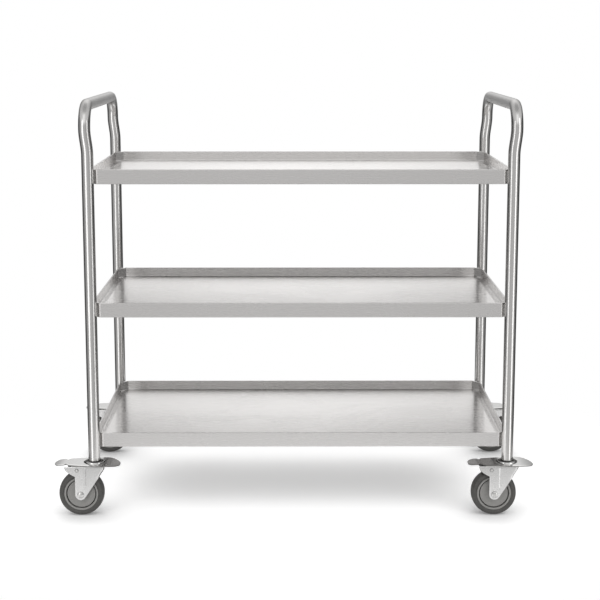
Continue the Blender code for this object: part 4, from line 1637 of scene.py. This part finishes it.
@dataclass(frozen=True)
class Fork:
    """The pressed fork: a folded channel with two stems, two ears, a slot and a turned wing."""

    sheet: float = 0.003
    half_width: float = 0.023
    top_z: float = 0.116
    shoulder_radius: float = 0.005
    lead_reach: float = FORK_LEAD
    lead_corner_z: float = 0.107
    roll_width: float = 0.0060
    roll_depth: float = 0.0050
    roll_heights: Pair = (0.084, 0.096)
    crown_end: float = 0.049
    ear_top_z: float = 0.1140
    ear_foot_z: float = 0.0915
    ear_reach: float = FORK_TRAIL
    ear_power: float = 2.1
    axle_x: float = AXLE_X
    axle_z: float = AXLE_Z
    boss_radius: float = 0.0117
    slot_start: float = 0.0297
    slot_half_width: float = 0.0135
    crease_x: float = 0.0175
    crease_before: float = 0.0010
    crease_after: float = 0.0026
    crease_depth: float = 0.0009
    crease_heights: Pair = (0.060, 0.068)
    wing_slope: float = 0.110
    edge: float = 0.0005
    kingpin_hole: float = 0.0066
    axle_hole: float = 0.0043
    pivot_hole: float = 0.0023
    pivot_x: float = PIVOT_X
    pivot_z: float = PIVOT_Z
    boss_steps: int = 10
    cheek_steps: tuple[int, int] = (10, 14)
    shoulder_steps: tuple[int, int] = (3, 6)
    crown_steps: tuple[int, int] = (2, 5)
    # Steps from the leading edge to the rim, both sides of the crease, the slot, crown and ear
    row_steps: tuple[int, ...] = (6, 8, 2, 2, 4, 6, 6)

    def boss_reach(self, height: np.ndarray) -> np.ndarray:
        """Return how far the boss's circle reaches to each side of the axle at each height."""
        return np.sqrt(np.clip(self.boss_radius**2 - (height - self.axle_z) ** 2, 0.0, None))

    def lead(self, height: np.ndarray) -> np.ndarray:
        """Work out where the leading edge is.

        It follows the boss's circle up to the point where the line to the crown's corner touches
        it, then that line, and then the crown's upright end.

        Args:
            height: Heights on the cheek.

        Returns:
            The edge's place along X at each height.
        """
        to_corner = (-self.lead_reach - self.axle_x, self.lead_corner_z - self.axle_z)
        span = math.hypot(*to_corner)
        touch = math.atan2(to_corner[1], to_corner[0]) + math.acos(self.boss_radius / span)
        touch_x = self.axle_x + self.boss_radius * math.cos(touch)
        touch_z = self.axle_z + self.boss_radius * math.sin(touch)
        share = (height - touch_z) / (self.lead_corner_z - touch_z)
        line = touch_x + (-self.lead_reach - touch_x) * np.clip(share, 0.0, 1.0)
        return np.where(height < touch_z, self.axle_x - self.boss_reach(height), line)

    def trail(self, height: np.ndarray) -> np.ndarray:
        """Work out where the trailing edge is.

        It follows the boss's circle, the upright stem and the ear, whose place rises as one less
        a power of the share of its height that is left; above the ear it is the crown's end.

        Args:
            height: Heights on the cheek.

        Returns:
            The edge's place along X at each height.
        """
        stem = self.axle_x + self.boss_radius
        left = (self.ear_top_z - height) / (self.ear_top_z - self.ear_foot_z)
        place = 1 - np.clip(left, 0.0, 1.0) ** self.ear_power
        ear = stem + (self.ear_reach - stem) * place
        edge = np.where(height < self.axle_z, self.axle_x + self.boss_reach(height), ear)
        return np.where(height > self.ear_top_z + WELD_DISTANCE, self.crown_end, edge)

    def section(self) -> np.ndarray:
        """Work out the channel's outer section: cheek, round shoulder, crown and back down.

        Returns:
            Pairs of place along Y and height, from one cheek's foot to the other's.
        """
        boss_angles = np.linspace(0.0, math.pi / 2, self.boss_steps + 1)[:-1]
        boss = self.axle_z - self.boss_radius * np.cos(boss_angles)
        spring = self.top_z - self.shoulder_radius
        knots = np.array([self.axle_z, self.ear_foot_z, spring])
        cheek = np.concatenate([boss, steps_between(knots, self.cheek_steps)])
        ear_angle = math.asin((self.ear_top_z - spring) / self.shoulder_radius)
        angles = steps_between(np.array([0.0, ear_angle, math.pi / 2]), self.shoulder_steps)[1:]
        flat = self.half_width - self.shoulder_radius
        shoulder = arc((flat, spring), self.shoulder_radius, angles)
        side = np.stack([np.full_like(cheek, self.half_width), cheek], axis=-1)
        crown_y = steps_between(np.array([flat, self.slot_half_width, 0.0]), self.crown_steps)[1:]
        crown = np.stack([crown_y, np.full_like(crown_y, self.top_z)], axis=-1)
        half = np.concatenate([side, shoulder, crown])
        return np.concatenate([half * (-1.0, 1.0), half[-2::-1]])

    def surface(self) -> Shell:
        """Make the fork's outer face.

        Each row of the section runs from the leading to the trailing edge, with lines on the
        crease, the slot's start and the crown's end. Ahead of the crease the channel narrows in
        step with the distance from it. Its leading rim rolls inwards by the depth times one less
        the root of one less the square of the share of the way to the rim.

        Returns:
            The surface, without the slot.
        """
        section = self.section()
        across, height = section[:, 0], section[:, 1]
        lead, trail = self.lead(height), self.trail(height)
        crown = np.minimum(trail, self.crown_end)
        crease = np.clip(self.crease_x, lead, crown)
        before = np.clip(crease - self.crease_before, lead, crown)
        after = np.clip(crease + self.crease_after, lead, crown)
        slot = np.clip(self.slot_start, after, crown)
        rim = np.minimum(lead + self.roll_width, before)
        knots = np.stack([lead, rim, before, crease, after, slot, crown, trail], axis=-1)
        x = steps_between(knots, self.row_steps)
        narrow = self.wing_slope * np.clip(self.crease_x - x, 0.0, None) / self.half_width
        past = x - self.crease_x
        from_crease = np.where(past < 0, -past / self.crease_before, past / self.crease_after)
        on_cheek = height < self.top_z - self.shoulder_radius
        creased = eased(height, *self.crease_heights) * on_cheek
        dent = self.crease_depth * np.clip(1 - from_crease, 0.0, 1.0) * creased[:, None]
        to_rim = np.clip(1 - (x - lead[:, None]) / self.roll_width, 0.0, 1.0)
        rolled = eased(height, *self.roll_heights) * on_cheek
        roll = self.roll_depth * (1 - np.sqrt(1 - to_rim**2)) * rolled[:, None]
        y = across[:, None] * (1 - narrow - (dent + roll) / self.half_width)
        points = np.stack([x, y, np.broadcast_to(height[:, None], x.shape)], axis=-1)
        slot_column, ear_column = sum(self.row_steps[:5]), sum(self.row_steps[:6])
        column = np.arange(sum(self.row_steps))
        row_height = np.maximum(height[1:], height[:-1])
        row_across = np.maximum(np.abs(across[1:]), np.abs(across[:-1]))
        above_ear = row_height > self.ear_top_z + WELD_DISTANCE
        in_slot = row_across < self.slot_half_width + WELD_DISTANCE
        keep = ~(above_ear[:, None] & (column >= ear_column))
        keep &= ~(in_slot[:, None] & (column >= slot_column))
        return Shell().grid(points, keep=keep)

    def build(self, corner: Corner) -> None:
        """Make the fork at one corner, with its holes for kingpin, axle and pedal pin.

        Args:
            corner: The corner that it stands at.
        """
        depth = 2 * self.half_width
        axle = rod(self.axle_hole, -depth, depth).place(along_y).shift(self.axle_x, self.axle_z)
        pivot = rod(self.pivot_hole, -depth, depth).place(along_y).shift(self.pivot_x, self.pivot_z)
        kingpin = rod(self.kingpin_hole, self.top_z - 3 * self.sheet, self.top_z + self.sheet)
        drills = tuple(drill.place(corner.place.put) for drill in (kingpin, axle, pivot))
        work = SheetWork(thickness=self.sheet, edge=self.edge, drills=drills)
        corner.make("fork_pressing", self.surface(), Body.SWIVEL, PRESSED_STEEL, "fork", work)


@dataclass(frozen=True)
class Fasteners:
    """The axle bolt with its nut, and the rivet that the pedal turns on."""

    seat: float = 0.0233
    axle_x: float = AXLE_X
    axle_z: float = AXLE_Z
    axle_radius: float = AXLE_RADIUS
    head_radius: float = 0.007
    head_height: float = 0.0032
    dimple_depth: float = 0.0006
    dimple_radius: float = 0.0012
    nut_radius: float = 0.0072
    nut_height: float = 0.004
    nut_steps: int = 96
    # Shares of the nut's height, each with the cone's limit as a share of the flats' distance
    nut_cone: tuple[Pair, ...] = (
        (0.0, 0.93),
        (0.0, 0.985),
        (0.16, 1.16),
        (0.5, 1.16),
        (0.84, 1.16),
        (1.0, 0.985),
        (1.0, 0.93),
    )
    end_proud: float = 0.0012
    pivot_x: float = PIVOT_X
    pivot_z: float = PIVOT_Z
    pin_radius: float = 0.002
    rivet_radius: float = 0.003
    rivet_height: float = 0.001
    fit_gap: float = FIT_GAP

    def axle(self) -> Shell:
        """Make the bolt: a domed head with a small dimple, a shank and a chamfered end.

        Returns:
            Its surface.
        """
        head = -self.seat
        top = head - self.head_height
        end = self.seat + self.nut_height + self.end_proud
        corners = [
            (0.0, top + self.dimple_depth, 0.0),
            (self.dimple_radius, top + self.dimple_depth, 0.0003),
            (self.dimple_radius + 0.0008, top, 0.0008),
            (0.6 * self.head_radius, head - 0.88 * self.head_height, 0.0016),
            (self.head_radius, head - 0.45 * self.head_height, 0.0008),
            (self.head_radius, head, 0.0002),
            (self.axle_radius, head, 0.0001),
            (self.axle_radius, end, 0.0006),
            (0.0, end, 0.0),
        ]
        return solid_shell(profile(corners, 6, False))

    def nut(self) -> Shell:
        """Make the nut: six flats, cut back at both ends by a cone.

        The flats lie where the inner radius over the cosine of the angle from the nearest
        middle of a flat reaches; the cone limits the radius near the ends.

        Returns:
            Its surface.
        """
        angles = np.arange(self.nut_steps) * (FULL_TURN / self.nut_steps)
        inner = self.nut_radius * math.cos(math.pi / 6)
        from_flat = (angles + math.pi / 6) % (math.pi / 3) - math.pi / 6
        cone = np.array(self.nut_cone)
        outer = np.minimum(cone[:, 1:] * inner, inner / np.cos(from_flat))
        bore = np.full((2, self.nut_steps), self.axle_radius + self.fit_gap)
        level = np.concatenate([cone[:, :1], [[1.0], [0.0]]]) * self.nut_height + self.seat
        outline = np.concatenate([np.concatenate([outer, bore]), level], axis=1)
        return ring_shell(outline, self.nut_steps)

    def pin(self) -> Shell:
        """Make the rivet, with a low round head outside each cheek.

        Returns:
            Its surface.
        """
        half = [
            (0.0, self.seat + self.rivet_height, 0.0),
            (0.55 * self.rivet_radius, self.seat + self.rivet_height, 0.0008),
            (self.rivet_radius, self.seat + 0.3 * self.rivet_height, 0.0006),
            (self.rivet_radius, self.seat, 0.0002),
            (self.pin_radius, self.seat, 0.0001),
        ]
        return solid_shell(profile(half, 5, False, mirrored=True), 64)

    def build(self, corner: Corner) -> None:
        """Make the fasteners at one corner, the bolt's head on the near side of the cart.

        Args:
            corner: The corner that they stand at.
        """
        near = -1.0 if math.cos(corner.place.heading) < 0 else 1.0
        for node, shell, x, z in (
            ("axle", self.axle(), self.axle_x, self.axle_z),
            ("axle_nut", self.nut(), self.axle_x, self.axle_z),
            ("pedal_pin", self.pin(), self.pivot_x, self.pivot_z),
        ):
            shell.place(along_y).place(lambda points: points * (1.0, near, 1.0)).shift(x, z)
            corner.make(f"{node}_fitted", shell, Body.SWIVEL, TURNED_STEEL, node)


@dataclass(frozen=True)
class Wheel:
    """One wheel: a grey tyre on a moulded hub that runs on a plain bush."""

    axle_x: float = AXLE_X
    radius: float = AXLE_Z
    half_width: float = 0.016
    tread_crown: float = 0.0012
    shoulder: float = 0.005
    parting: float = 0.0001
    seat_radius: float = 0.0375
    rim_half: float = 0.0145
    ring_inner: float = 0.0335
    groove_inner: float = 0.031
    web_half: float = 0.0115
    web_step: float = 0.0004
    groove_half: float = 0.0078
    boss_radius: float = 0.0125
    boss_half: float = 0.0194
    bush_radius: float = 0.0075
    axle_radius: float = AXLE_RADIUS
    fit_gap: float = FIT_GAP
    sides: int = 144

    def tyre(self) -> Shell:
        """Make the tyre: a crowned tread with a parting line, round shoulders and a side step.

        Returns:
            Its surface.
        """
        edge = self.radius - self.tread_crown
        inner = self.seat_radius + self.fit_gap
        tread = self.radius - self.parting
        half = [
            (inner, self.rim_half, 0.0004),
            (inner + 0.0016, self.rim_half + 0.0003, 0.0006),
            (inner + 0.0024, self.half_width - 0.0006, 0.0006),
            (inner + 0.0034, self.half_width, 0.0006),
            (edge - self.shoulder * 0.62, self.half_width, 0.0030),
            (edge, self.half_width - self.shoulder * 0.75, 0.0028),
            (tread, 0.004, 0.002),
            (tread, 0.0005, 0.0003),
            (self.radius, 0.0002, 0.0002),
        ]
        return ring_shell(profile(half, 6, True, mirrored=True), self.sides)

    def hub(self) -> Shell:
        """Make the hub: a rim ring, a groove, a web with two shallow steps and a long boss.

        Returns:
            Its surface.
        """
        raised = self.web_half + self.web_step
        half = [
            (self.bush_radius + self.fit_gap, self.boss_half, 0.0004),
            (self.boss_radius - 0.0004, self.boss_half, 0.0006),
            (self.boss_radius, raised, 0.0004),
            (self.boss_radius + 0.0016, self.web_half, 0.001),
            (self.groove_inner - 0.0042, self.web_half, 0.0004),
            (self.groove_inner - 0.0036, raised, 0.0004),
            (self.groove_inner, raised, 0.0006),
            (self.groove_inner + 0.0004, self.groove_half, 0.0004),
            (self.ring_inner - 0.0003, self.groove_half, 0.0004),
            (self.ring_inner, self.rim_half, 0.0006),
            (self.seat_radius, self.rim_half, 0.0005),
        ]
        return ring_shell(profile(half, 5, True, mirrored=True), self.sides)

    def bush(self) -> Shell:
        """Make the plain bush.

        Returns:
            Its surface.
        """
        bore = self.axle_radius + self.fit_gap
        corners = [
            (bore, -self.boss_half, 0.0005),
            (self.bush_radius, -self.boss_half, 0.0005),
            (self.bush_radius, self.boss_half, 0.0005),
            (bore, self.boss_half, 0.0005),
        ]
        return ring_shell(profile(corners, 4, True), 64)

    def build(self, corner: Corner) -> None:
        """Make the wheel at one corner.

        Args:
            corner: The corner that it stands at.
        """
        for node, shell, finish in (
            ("tyre", self.tyre(), TYRE_RUBBER),
            ("hub", self.hub(), HUB_PLASTIC),
            ("wheel_bush", self.bush(), BUSH_PLASTIC),
        ):
            shell.place(along_y).shift(self.axle_x, self.radius)
            corner.make(f"{node}_moulded", shell, Body.WHEEL, finish, node)


@dataclass(frozen=True)
class Pedal:
    """The rocker pedal: a polished plate with a hole round the swivel cap, its lug and shoe."""

    underside_z: float = 0.1177
    sheet: float = 0.0018
    hole_radius: float = 0.0235
    half_width: float = 0.035
    tip_reach: float = 0.0873
    lead_reach: float = 0.0575
    tip_dip: float = 0.003
    lead_dip: float = 0.005
    fork_trail: float = FORK_TRAIL
    fork_lead: float = FORK_LEAD
    softening: float = 0.0022
    edge: float = 0.0004
    edge_roll: float = 0.0005
    edge_roll_width: float = 0.0018
    lug_radius: float = 0.0045
    lug_half_width: float = 0.011
    pivot_x: float = PIVOT_X
    pivot_z: float = PIVOT_Z
    pin_hole: float = 0.0023
    shoe_start: float = 0.0452
    shoe_end: float = 0.0572
    shoe_half_width: float = 0.0115
    shoe_reach: float = 0.0534
    shoe_top_z: float = 0.1132
    tongue_inset: float = 0.0012
    axle_x: float = AXLE_X
    axle_z: float = AXLE_Z
    fit_gap: float = FIT_GAP
    lead_steps: int = 29
    hole_steps: int = 40
    tip_steps: int = 59
    # Shares of the way from the hole or the middle line to the outline
    across_shares: tuple[float, ...] = (0.0, 0.2, 0.4, 0.6, 0.75, 0.86, 0.93, 0.97, 1.0)
    # Pairs of place along the reach and half-width, from the trailing tip to the leading end
    outline: tuple[Pair, ...] = (
        (1.00, 0.18),
        (0.975, 0.42),
        (0.92, 0.57),
        (0.84, 0.64),
        (0.75, 0.64),
        (0.715, 0.56),
        (0.69, 0.42),
        (0.665, 0.57),
        (0.63, 0.70),
        (0.45, 0.79),
        (0.20, 0.90),
        (0.00, 0.96),
        (-0.30, 1.00),
        (-0.52, 0.98),
        (-0.72, 0.85),
        (-0.87, 0.64),
        (-0.965, 0.38),
        (-1.00, 0.14),
    )

    def half_widths(self, x: np.ndarray) -> np.ndarray:
        """Work out the outline's half-width.

        The outline's straight pieces are averaged over a short window, a raised cosine, so that
        its corners come out round.

        Args:
            x: Places along X.

        Returns:
            The half-width at each place.
        """
        table = np.array(self.outline)[::-1]
        places = np.where(table[:, 0] > 0, self.tip_reach, self.lead_reach) * table[:, 0]
        window = np.linspace(-1.0, 1.0, 41)
        weight = 1 + np.cos(math.pi * window)
        spots = x[:, None] + self.softening * window
        widths = np.interp(spots, places, table[:, 1] * self.half_width)
        return (widths * weight).sum(axis=1) / weight.sum()

    def plate(self) -> Shell:
        """Make the plate's upper face.

        Each half runs from the hole's edge, or the middle line beyond it, to the outline. The
        plate dips as the square of the distance past the fork, and its rim rolls down a little.

        Returns:
            The surface.
        """
        round_hole = -self.hole_radius * np.cos(np.linspace(0.0, math.pi, self.hole_steps + 1))
        lead_share = np.linspace(0, 1, self.lead_steps + 1)[:-1]
        lead = -self.lead_reach + (self.lead_reach - self.hole_radius) * lead_share
        tip_share = np.linspace(0, 1, self.tip_steps + 1)[1:]
        tip = self.hole_radius + (self.tip_reach - self.hole_radius) * tip_share
        x = np.concatenate([lead, round_hole, tip])
        inner = np.sqrt(np.clip(self.hole_radius**2 - x**2, 0.0, None))
        outer = self.half_widths(x)
        y = inner + (outer - inner) * np.array(self.across_shares)[:, None]
        past_tip = np.clip(x - self.fork_trail, 0.0, None) / (self.tip_reach - self.fork_trail)
        past_lead = np.clip(-x - self.fork_lead, 0.0, None) / (self.lead_reach - self.fork_lead)
        dip = self.lead_dip * past_lead**2 + self.tip_dip * past_tip**2
        roll = self.edge_roll * eased(y - outer, -self.edge_roll_width, 0.0)
        z = self.underside_z + self.sheet - dip - roll
        upper = np.stack([np.broadcast_to(x, y.shape), y, z], axis=-1)
        return Shell().grid(upper).grid(upper[::-1] * (1.0, -1.0, 1.0))

    def lug(self) -> Shell:
        """Make the lug that joins the plate to its pin.

        Returns:
            Its surface.
        """
        angles = np.linspace(math.pi, FULL_TURN, 25)
        round_end = arc((self.pivot_x, self.pivot_z), self.lug_radius, angles)
        top = self.underside_z
        ends = [(self.pivot_x + self.lug_radius, top), (self.pivot_x - self.lug_radius, top)]
        return block_shell(np.concatenate([round_end, ends]), self.lug_half_width)

    def shoe(self) -> Shell:
        """Make the brake shoe, whose lower side follows the tyre.

        Returns:
            Its surface.
        """
        ends = np.array([self.shoe_start, self.shoe_end]) - self.axle_x
        angles = np.linspace(*np.arccos(ends / self.shoe_reach), 17)
        curve = arc((self.axle_x, self.axle_z), self.shoe_reach, angles)
        top = [(self.shoe_end, self.shoe_top_z), (self.shoe_start, self.shoe_top_z)]
        return block_shell(np.concatenate([curve, top]), self.shoe_half_width)

    def tongue(self) -> Shell:
        """Make the steel tongue that carries the shoe under the plate.

        Returns:
            Its surface.
        """
        left, right = self.shoe_start + self.tongue_inset, self.shoe_end - self.tongue_inset
        low, top = self.shoe_top_z, self.underside_z - self.fit_gap
        outline = np.array([(left, low), (right, low), (right, top), (left, top)])
        return block_shell(outline, self.shoe_half_width - self.tongue_inset)

    def build(self, corner: Corner) -> None:
        """Make the pedal's plate, lug, tongue and shoe at one corner.

        Args:
            corner: The corner that they stand at.
        """
        pin_hole = rod(self.pin_hole, -self.half_width, self.half_width).place(along_y)
        pin_hole.shift(self.pivot_x, self.pivot_z).place(corner.place.put)
        folded = SheetWork(thickness=self.sheet, edge=self.edge)
        drilled = SheetWork(edge=self.edge, drills=(pin_hole,))
        soft = SheetWork(edge=self.edge)
        for piece, shell, finish, node, work in (
            ("pedal_plate", self.plate(), PEDAL_STEEL, "pedal", folded),
            ("pedal_lug", self.lug(), POLISHED_STEEL, "", drilled),
            ("brake_tongue", self.tongue(), POLISHED_STEEL, "", soft),
            ("brake_shoe_block", self.shoe(), SHOE_RUBBER, "brake_shoe", soft),
        ):
            corner.make(piece, shell, Body.PEDAL, finish, node, work)


@dataclass(frozen=True)
class Caster:
    """One whole caster at its corner of the cart."""

    corner: Corner
    swivel: Swivel = field(default_factory=Swivel)
    fork: Fork = field(default_factory=Fork)
    fasteners: Fasteners = field(default_factory=Fasteners)
    wheel: Wheel = field(default_factory=Wheel)
    pedal: Pedal = field(default_factory=Pedal)

    def build(self) -> None:
        """Make every piece of the caster."""
        for group in (self.swivel, self.fork, self.fasteners, self.wheel, self.pedal):
            group.build(self.corner)


# Studio


@dataclass(frozen=True)
class Panel:
    """A tall soft panel beside the camera, whose stripe shows in every tube."""

    name: str
    place: tuple[float, float, float]
    width: float
    height: float
    level: float

    def build(self) -> None:
        """Make the panel as an area lamp that faces the cart's middle.

        A lamp's level as it is seen is its power over pi times its area.
        """
        data = bpy.data.lights.new(self.name, "AREA")
        data.shape = "RECTANGLE"
        data.size = self.width
        data.size_y = self.height
        data.energy = self.level * math.pi * self.width * self.height
        lamp = bpy.data.objects.new(data.name, data)
        lamp.location = self.place
        lamp.rotation_euler = (math.pi / 2, 0.0, math.atan2(self.place[0], -self.place[1]))
        lamp.visible_camera = False
        bpy.context.scene.collection.objects.link(lamp)


@dataclass(frozen=True)
class Floor:
    """A pale oval that fades out at its edge and keeps the cart's shadow.

    A light of its own, which only the eye and mirrors see, lifts it to white where it is open
    and less where the cart covers it, so that the shadow under the cart and by the wheels is partly real
    and partly painted.
    """

    reach: Pair = (1.15, 0.85)
    rings: int = 25
    sides: int = 96
    fade_start: float = 0.55
    colour: float = 0.80
    open_lift: float = 0.62
    covered_lift: float = 0.33
    cover_reach: float = 0.30
    cover_range: Pair = (0.25, 0.56)
    near_reach: float = 0.15
    near_range: Pair = (0.60, 0.99)
    near_shade: float = 0.45
    samples: int = 16

    def lift(self, skin: Skin) -> Socket:
        """Wire how strong the floor's own light is.

        Args:
            skin: The material's node tree.

        Returns:
            The strength, none for rays that are neither seen, mirrored nor let through.
        """
        path = skin.node("LightPath").outputs
        seen = skin.larger(path["Is Camera Ray"], path["Is Glossy Ray"])
        seen = skin.larger(seen, path["Is Transmission Ray"])
        # Painted shadow: the floor's own light is weaker where ambient occlusion finds the cart close.
        cover = skin.node("AmbientOcclusion", {"Distance": self.cover_reach}, samples=self.samples)
        lift = skin.ranged(cover.outputs["AO"], *self.cover_range, self.covered_lift, self.open_lift)
        near = skin.node("AmbientOcclusion", {"Distance": self.near_reach}, samples=self.samples)
        shade = skin.ranged(near.outputs["AO"], *self.near_range, self.near_shade, 1.0)
        return skin.times(seen, skin.times(lift, shade))

    def build(self) -> None:
        """Make the floor and its material."""
        outline = np.stack([np.linspace(0.0, 1.0, self.rings), np.zeros(self.rings)], axis=-1)
        grid = turned(outline, self.sides) * (*self.reach, 1.0)
        floor = bpy.data.objects.new("floor", Shell().grid(grid, close_columns=True).mesh("floor"))
        bpy.context.scene.collection.objects.link(floor)
        made = bpy.data.materials.new("pale_floor")
        made.use_nodes = True
        skin = Skin(made.node_tree)
        shares = (1 / self.reach[0], 1 / self.reach[1], 1.0)
        share = skin.node("VectorMath", {0: skin.place, 1: shares}, operation="MULTIPLY").outputs[0]
        distance = skin.node("VectorMath", {0: share}, operation="LENGTH").outputs["Value"]
        whole = skin.ranged(distance, self.fade_start, 1.0, 1.0, 0.0)
        matt = skin.node("BsdfDiffuse", {"Color": grey(self.colour)})
        light = skin.node("Emission", {"Color": WHITE, "Strength": self.lift(skin)})
        lit = skin.node("AddShader", {0: matt.outputs[0], 1: light.outputs[0]})
        clear = skin.node("BsdfTransparent", {"Color": WHITE})
        faded = skin.node("MixShader", {0: whole, 1: clear.outputs[0], 2: lit.outputs[0]})
        skin.node("OutputMaterial", {"Surface": faded.outputs[0]})
        floor.data.materials.append(made)


@dataclass(frozen=True)
class Surroundings:
    """The light that surrounds the cart: walls by azimuth, a level above and one below."""

    above_range: Pair = (0.20, 0.50)
    zenith_range: Pair = (0.80, 0.95)
    below_range: Pair = (-0.35, -0.75)
    back_range: Pair = (-0.3, 0.3)
    aside_range: Pair = (0.0, 0.60)
    zenith_level: float = 0.45
    high_back_level: float = 1.50
    high_front_level: float = 1.20
    high_side_level: float = 0.72
    below_level: float = 0.45
    # Pairs of azimuth in degrees, 0 towards the camera and rising to the right, and brightness
    walls: tuple[Pair, ...] = (
        (-180, 1.45),
        (-177, 1.35),
        (-172, 0.72),
        (-160, 0.36),
        (-140, 0.22),
        (-122, 0.05),
        (-104, 0.05),
        (-92, 0.26),
        (-68, 0.42),
        (-40, 0.52),
        (0, 0.58),
        (40, 0.46),
        (62, 0.32),
        (90, 0.22),
        (102, 0.04),
        (122, 0.04),
        (140, 0.20),
        (160, 0.36),
        (172, 0.72),
        (177, 1.35),
        (180, 1.45),
    )

    def wall_level(self, wiring: Wiring, direction: bpy.types.bpy_prop_collection) -> Socket:
        """Wire the walls' brightness, a ramp over the azimuth.

        Args:
            wiring: The world's node tree.
            direction: The direction's X, Y and Z.

        Returns:
            The brightness.
        """
        azimuth = wiring.math("ARCTAN2", direction["X"], wiring.times(direction["Y"], -1.0))
        turn = wiring.math("MULTIPLY_ADD", azimuth, 1 / FULL_TURN, 0.5)
        ramp = wiring.node("ValToRGB", {"Fac": turn})
        brightest = max(level for _, level in self.walls)
        stops = ramp.color_ramp.elements
        for number, (degrees, level) in enumerate(self.walls):
            spot = 0.5 + degrees / 360
            stop = stops[number] if number < 2 else stops.new(spot)
            stop.position = spot
            stop.color = grey(level / brightest)
        return wiring.times(ramp.outputs["Color"], brightest)

    def build(self) -> None:
        """Make the world: its light on the cart, and plain white to the eye."""
        world = bpy.data.worlds.new("studio")
        bpy.context.scene.world = world
        world.use_nodes = True
        world.node_tree.nodes.clear()
        wiring = Wiring(world.node_tree)
        direction = wiring.split(wiring.node("TexCoord").outputs["Generated"])
        above = wiring.ranged(direction["Z"], *self.above_range)
        zenith = wiring.ranged(direction["Z"], *self.zenith_range)
        below = wiring.ranged(direction["Z"], *self.below_range)
        aside = wiring.ranged(wiring.math("ABSOLUTE", direction["X"]), *self.aside_range)
        levels = (self.high_front_level, self.high_back_level)
        high = wiring.ranged(direction["Y"], *self.back_range, *levels)
        high = wiring.between(aside, high, self.high_side_level)
        level = wiring.between(above, self.wall_level(wiring, direction), high)
        level = wiring.between(zenith, level, self.zenith_level)
        level = wiring.between(below, level, self.below_level)
        level = wiring.between(wiring.node("LightPath").outputs["Is Camera Ray"], level, 1.0)
        light = wiring.node("Background", {"Color": WHITE, "Strength": level})
        wiring.node("OutputWorld", {"Surface": light.outputs[0]})


@dataclass(frozen=True)
class Camera:
    """The camera at the photograph's viewing angle, set up for a frame of 600 by 600 pixels."""

    image_size: float = 600.0
    sensor: float = 36.0
    focal_pixels: float = 1414.1
    place: tuple[float, float, float] = (-0.0114, -3.2641, 1.0520)
    pitch_deg: float = 9.236
    yaw_deg: float = 0.182
    shift_pixels: float = -34.9

    def build(self) -> None:
        """Make the camera and set it as the scene's."""
        data = bpy.data.cameras.new("camera")
        camera = bpy.data.objects.new("camera", data)
        bpy.context.scene.collection.objects.link(camera)
        data.sensor_width = self.sensor
        data.lens = self.focal_pixels * self.sensor / self.image_size
        data.shift_y = self.shift_pixels / self.image_size
        camera.location = self.place
        pitch = math.pi / 2 - math.radians(self.pitch_deg)
        camera.rotation_euler = (pitch, 0.0, -math.radians(self.yaw_deg))
        bpy.context.scene.camera = camera


@dataclass(frozen=True)
class Studio:
    """The floor, the light that surrounds the cart, the camera and the panels beside it."""

    floor: Floor = field(default_factory=Floor)
    surroundings: Surroundings = field(default_factory=Surroundings)
    camera: Camera = field(default_factory=Camera)
    panels: tuple[Panel, ...] = (
        Panel("panel_0", place=(-1.12, -1.42, 0.5), width=0.58, height=2.4, level=1.32),
        Panel("panel_1", place=(1.22, -1.05, 0.5), width=0.48, height=2.4, level=1.35),
    )

    def build(self) -> None:
        """Make the whole studio."""
        for part in (self.floor, self.surroundings, self.camera, *self.panels):
            part.build()
        bpy.context.scene.view_settings.view_transform = "Standard"


TRAY_TOPS = (("tray_bottom", 0.185), ("tray_middle", 0.4765), ("tray_top", 0.768))
HOOPS = (("hoop_left", -1), ("hoop_right", 1))
# Corner name, side along X, side along Y, and the heading that its wheel trails towards
CORNERS = (
    ("front_left", -1, -1, math.pi),
    ("front_right", 1, -1, math.pi),
    ("rear_left", -1, 1, math.pi),
    ("rear_right", 1, 1, 0.0),
)


def main() -> None:
    """Build the cart's looks in order, from the frame down to the casters, then the studio."""
    logging.basicConfig(level=logging.INFO, format="%(name)s: %(message)s")
    hoop, tray, welds = Hoop(), Tray(), TrayWelds()
    for name, side in HOOPS:
        hoop.build(name, side)
    for name, rim_top in TRAY_TOPS:
        tray.build(name, rim_top)
        welds.build(name, rim_top)
    for name, side_x, side_y, heading in CORNERS:
        place = Place((side_x * hoop.leg_x, side_y * hoop.leg_y, 0.0), heading)
        Caster(Corner(name, place)).build()
    Studio().build()


if __name__ == "__main__":
    main()
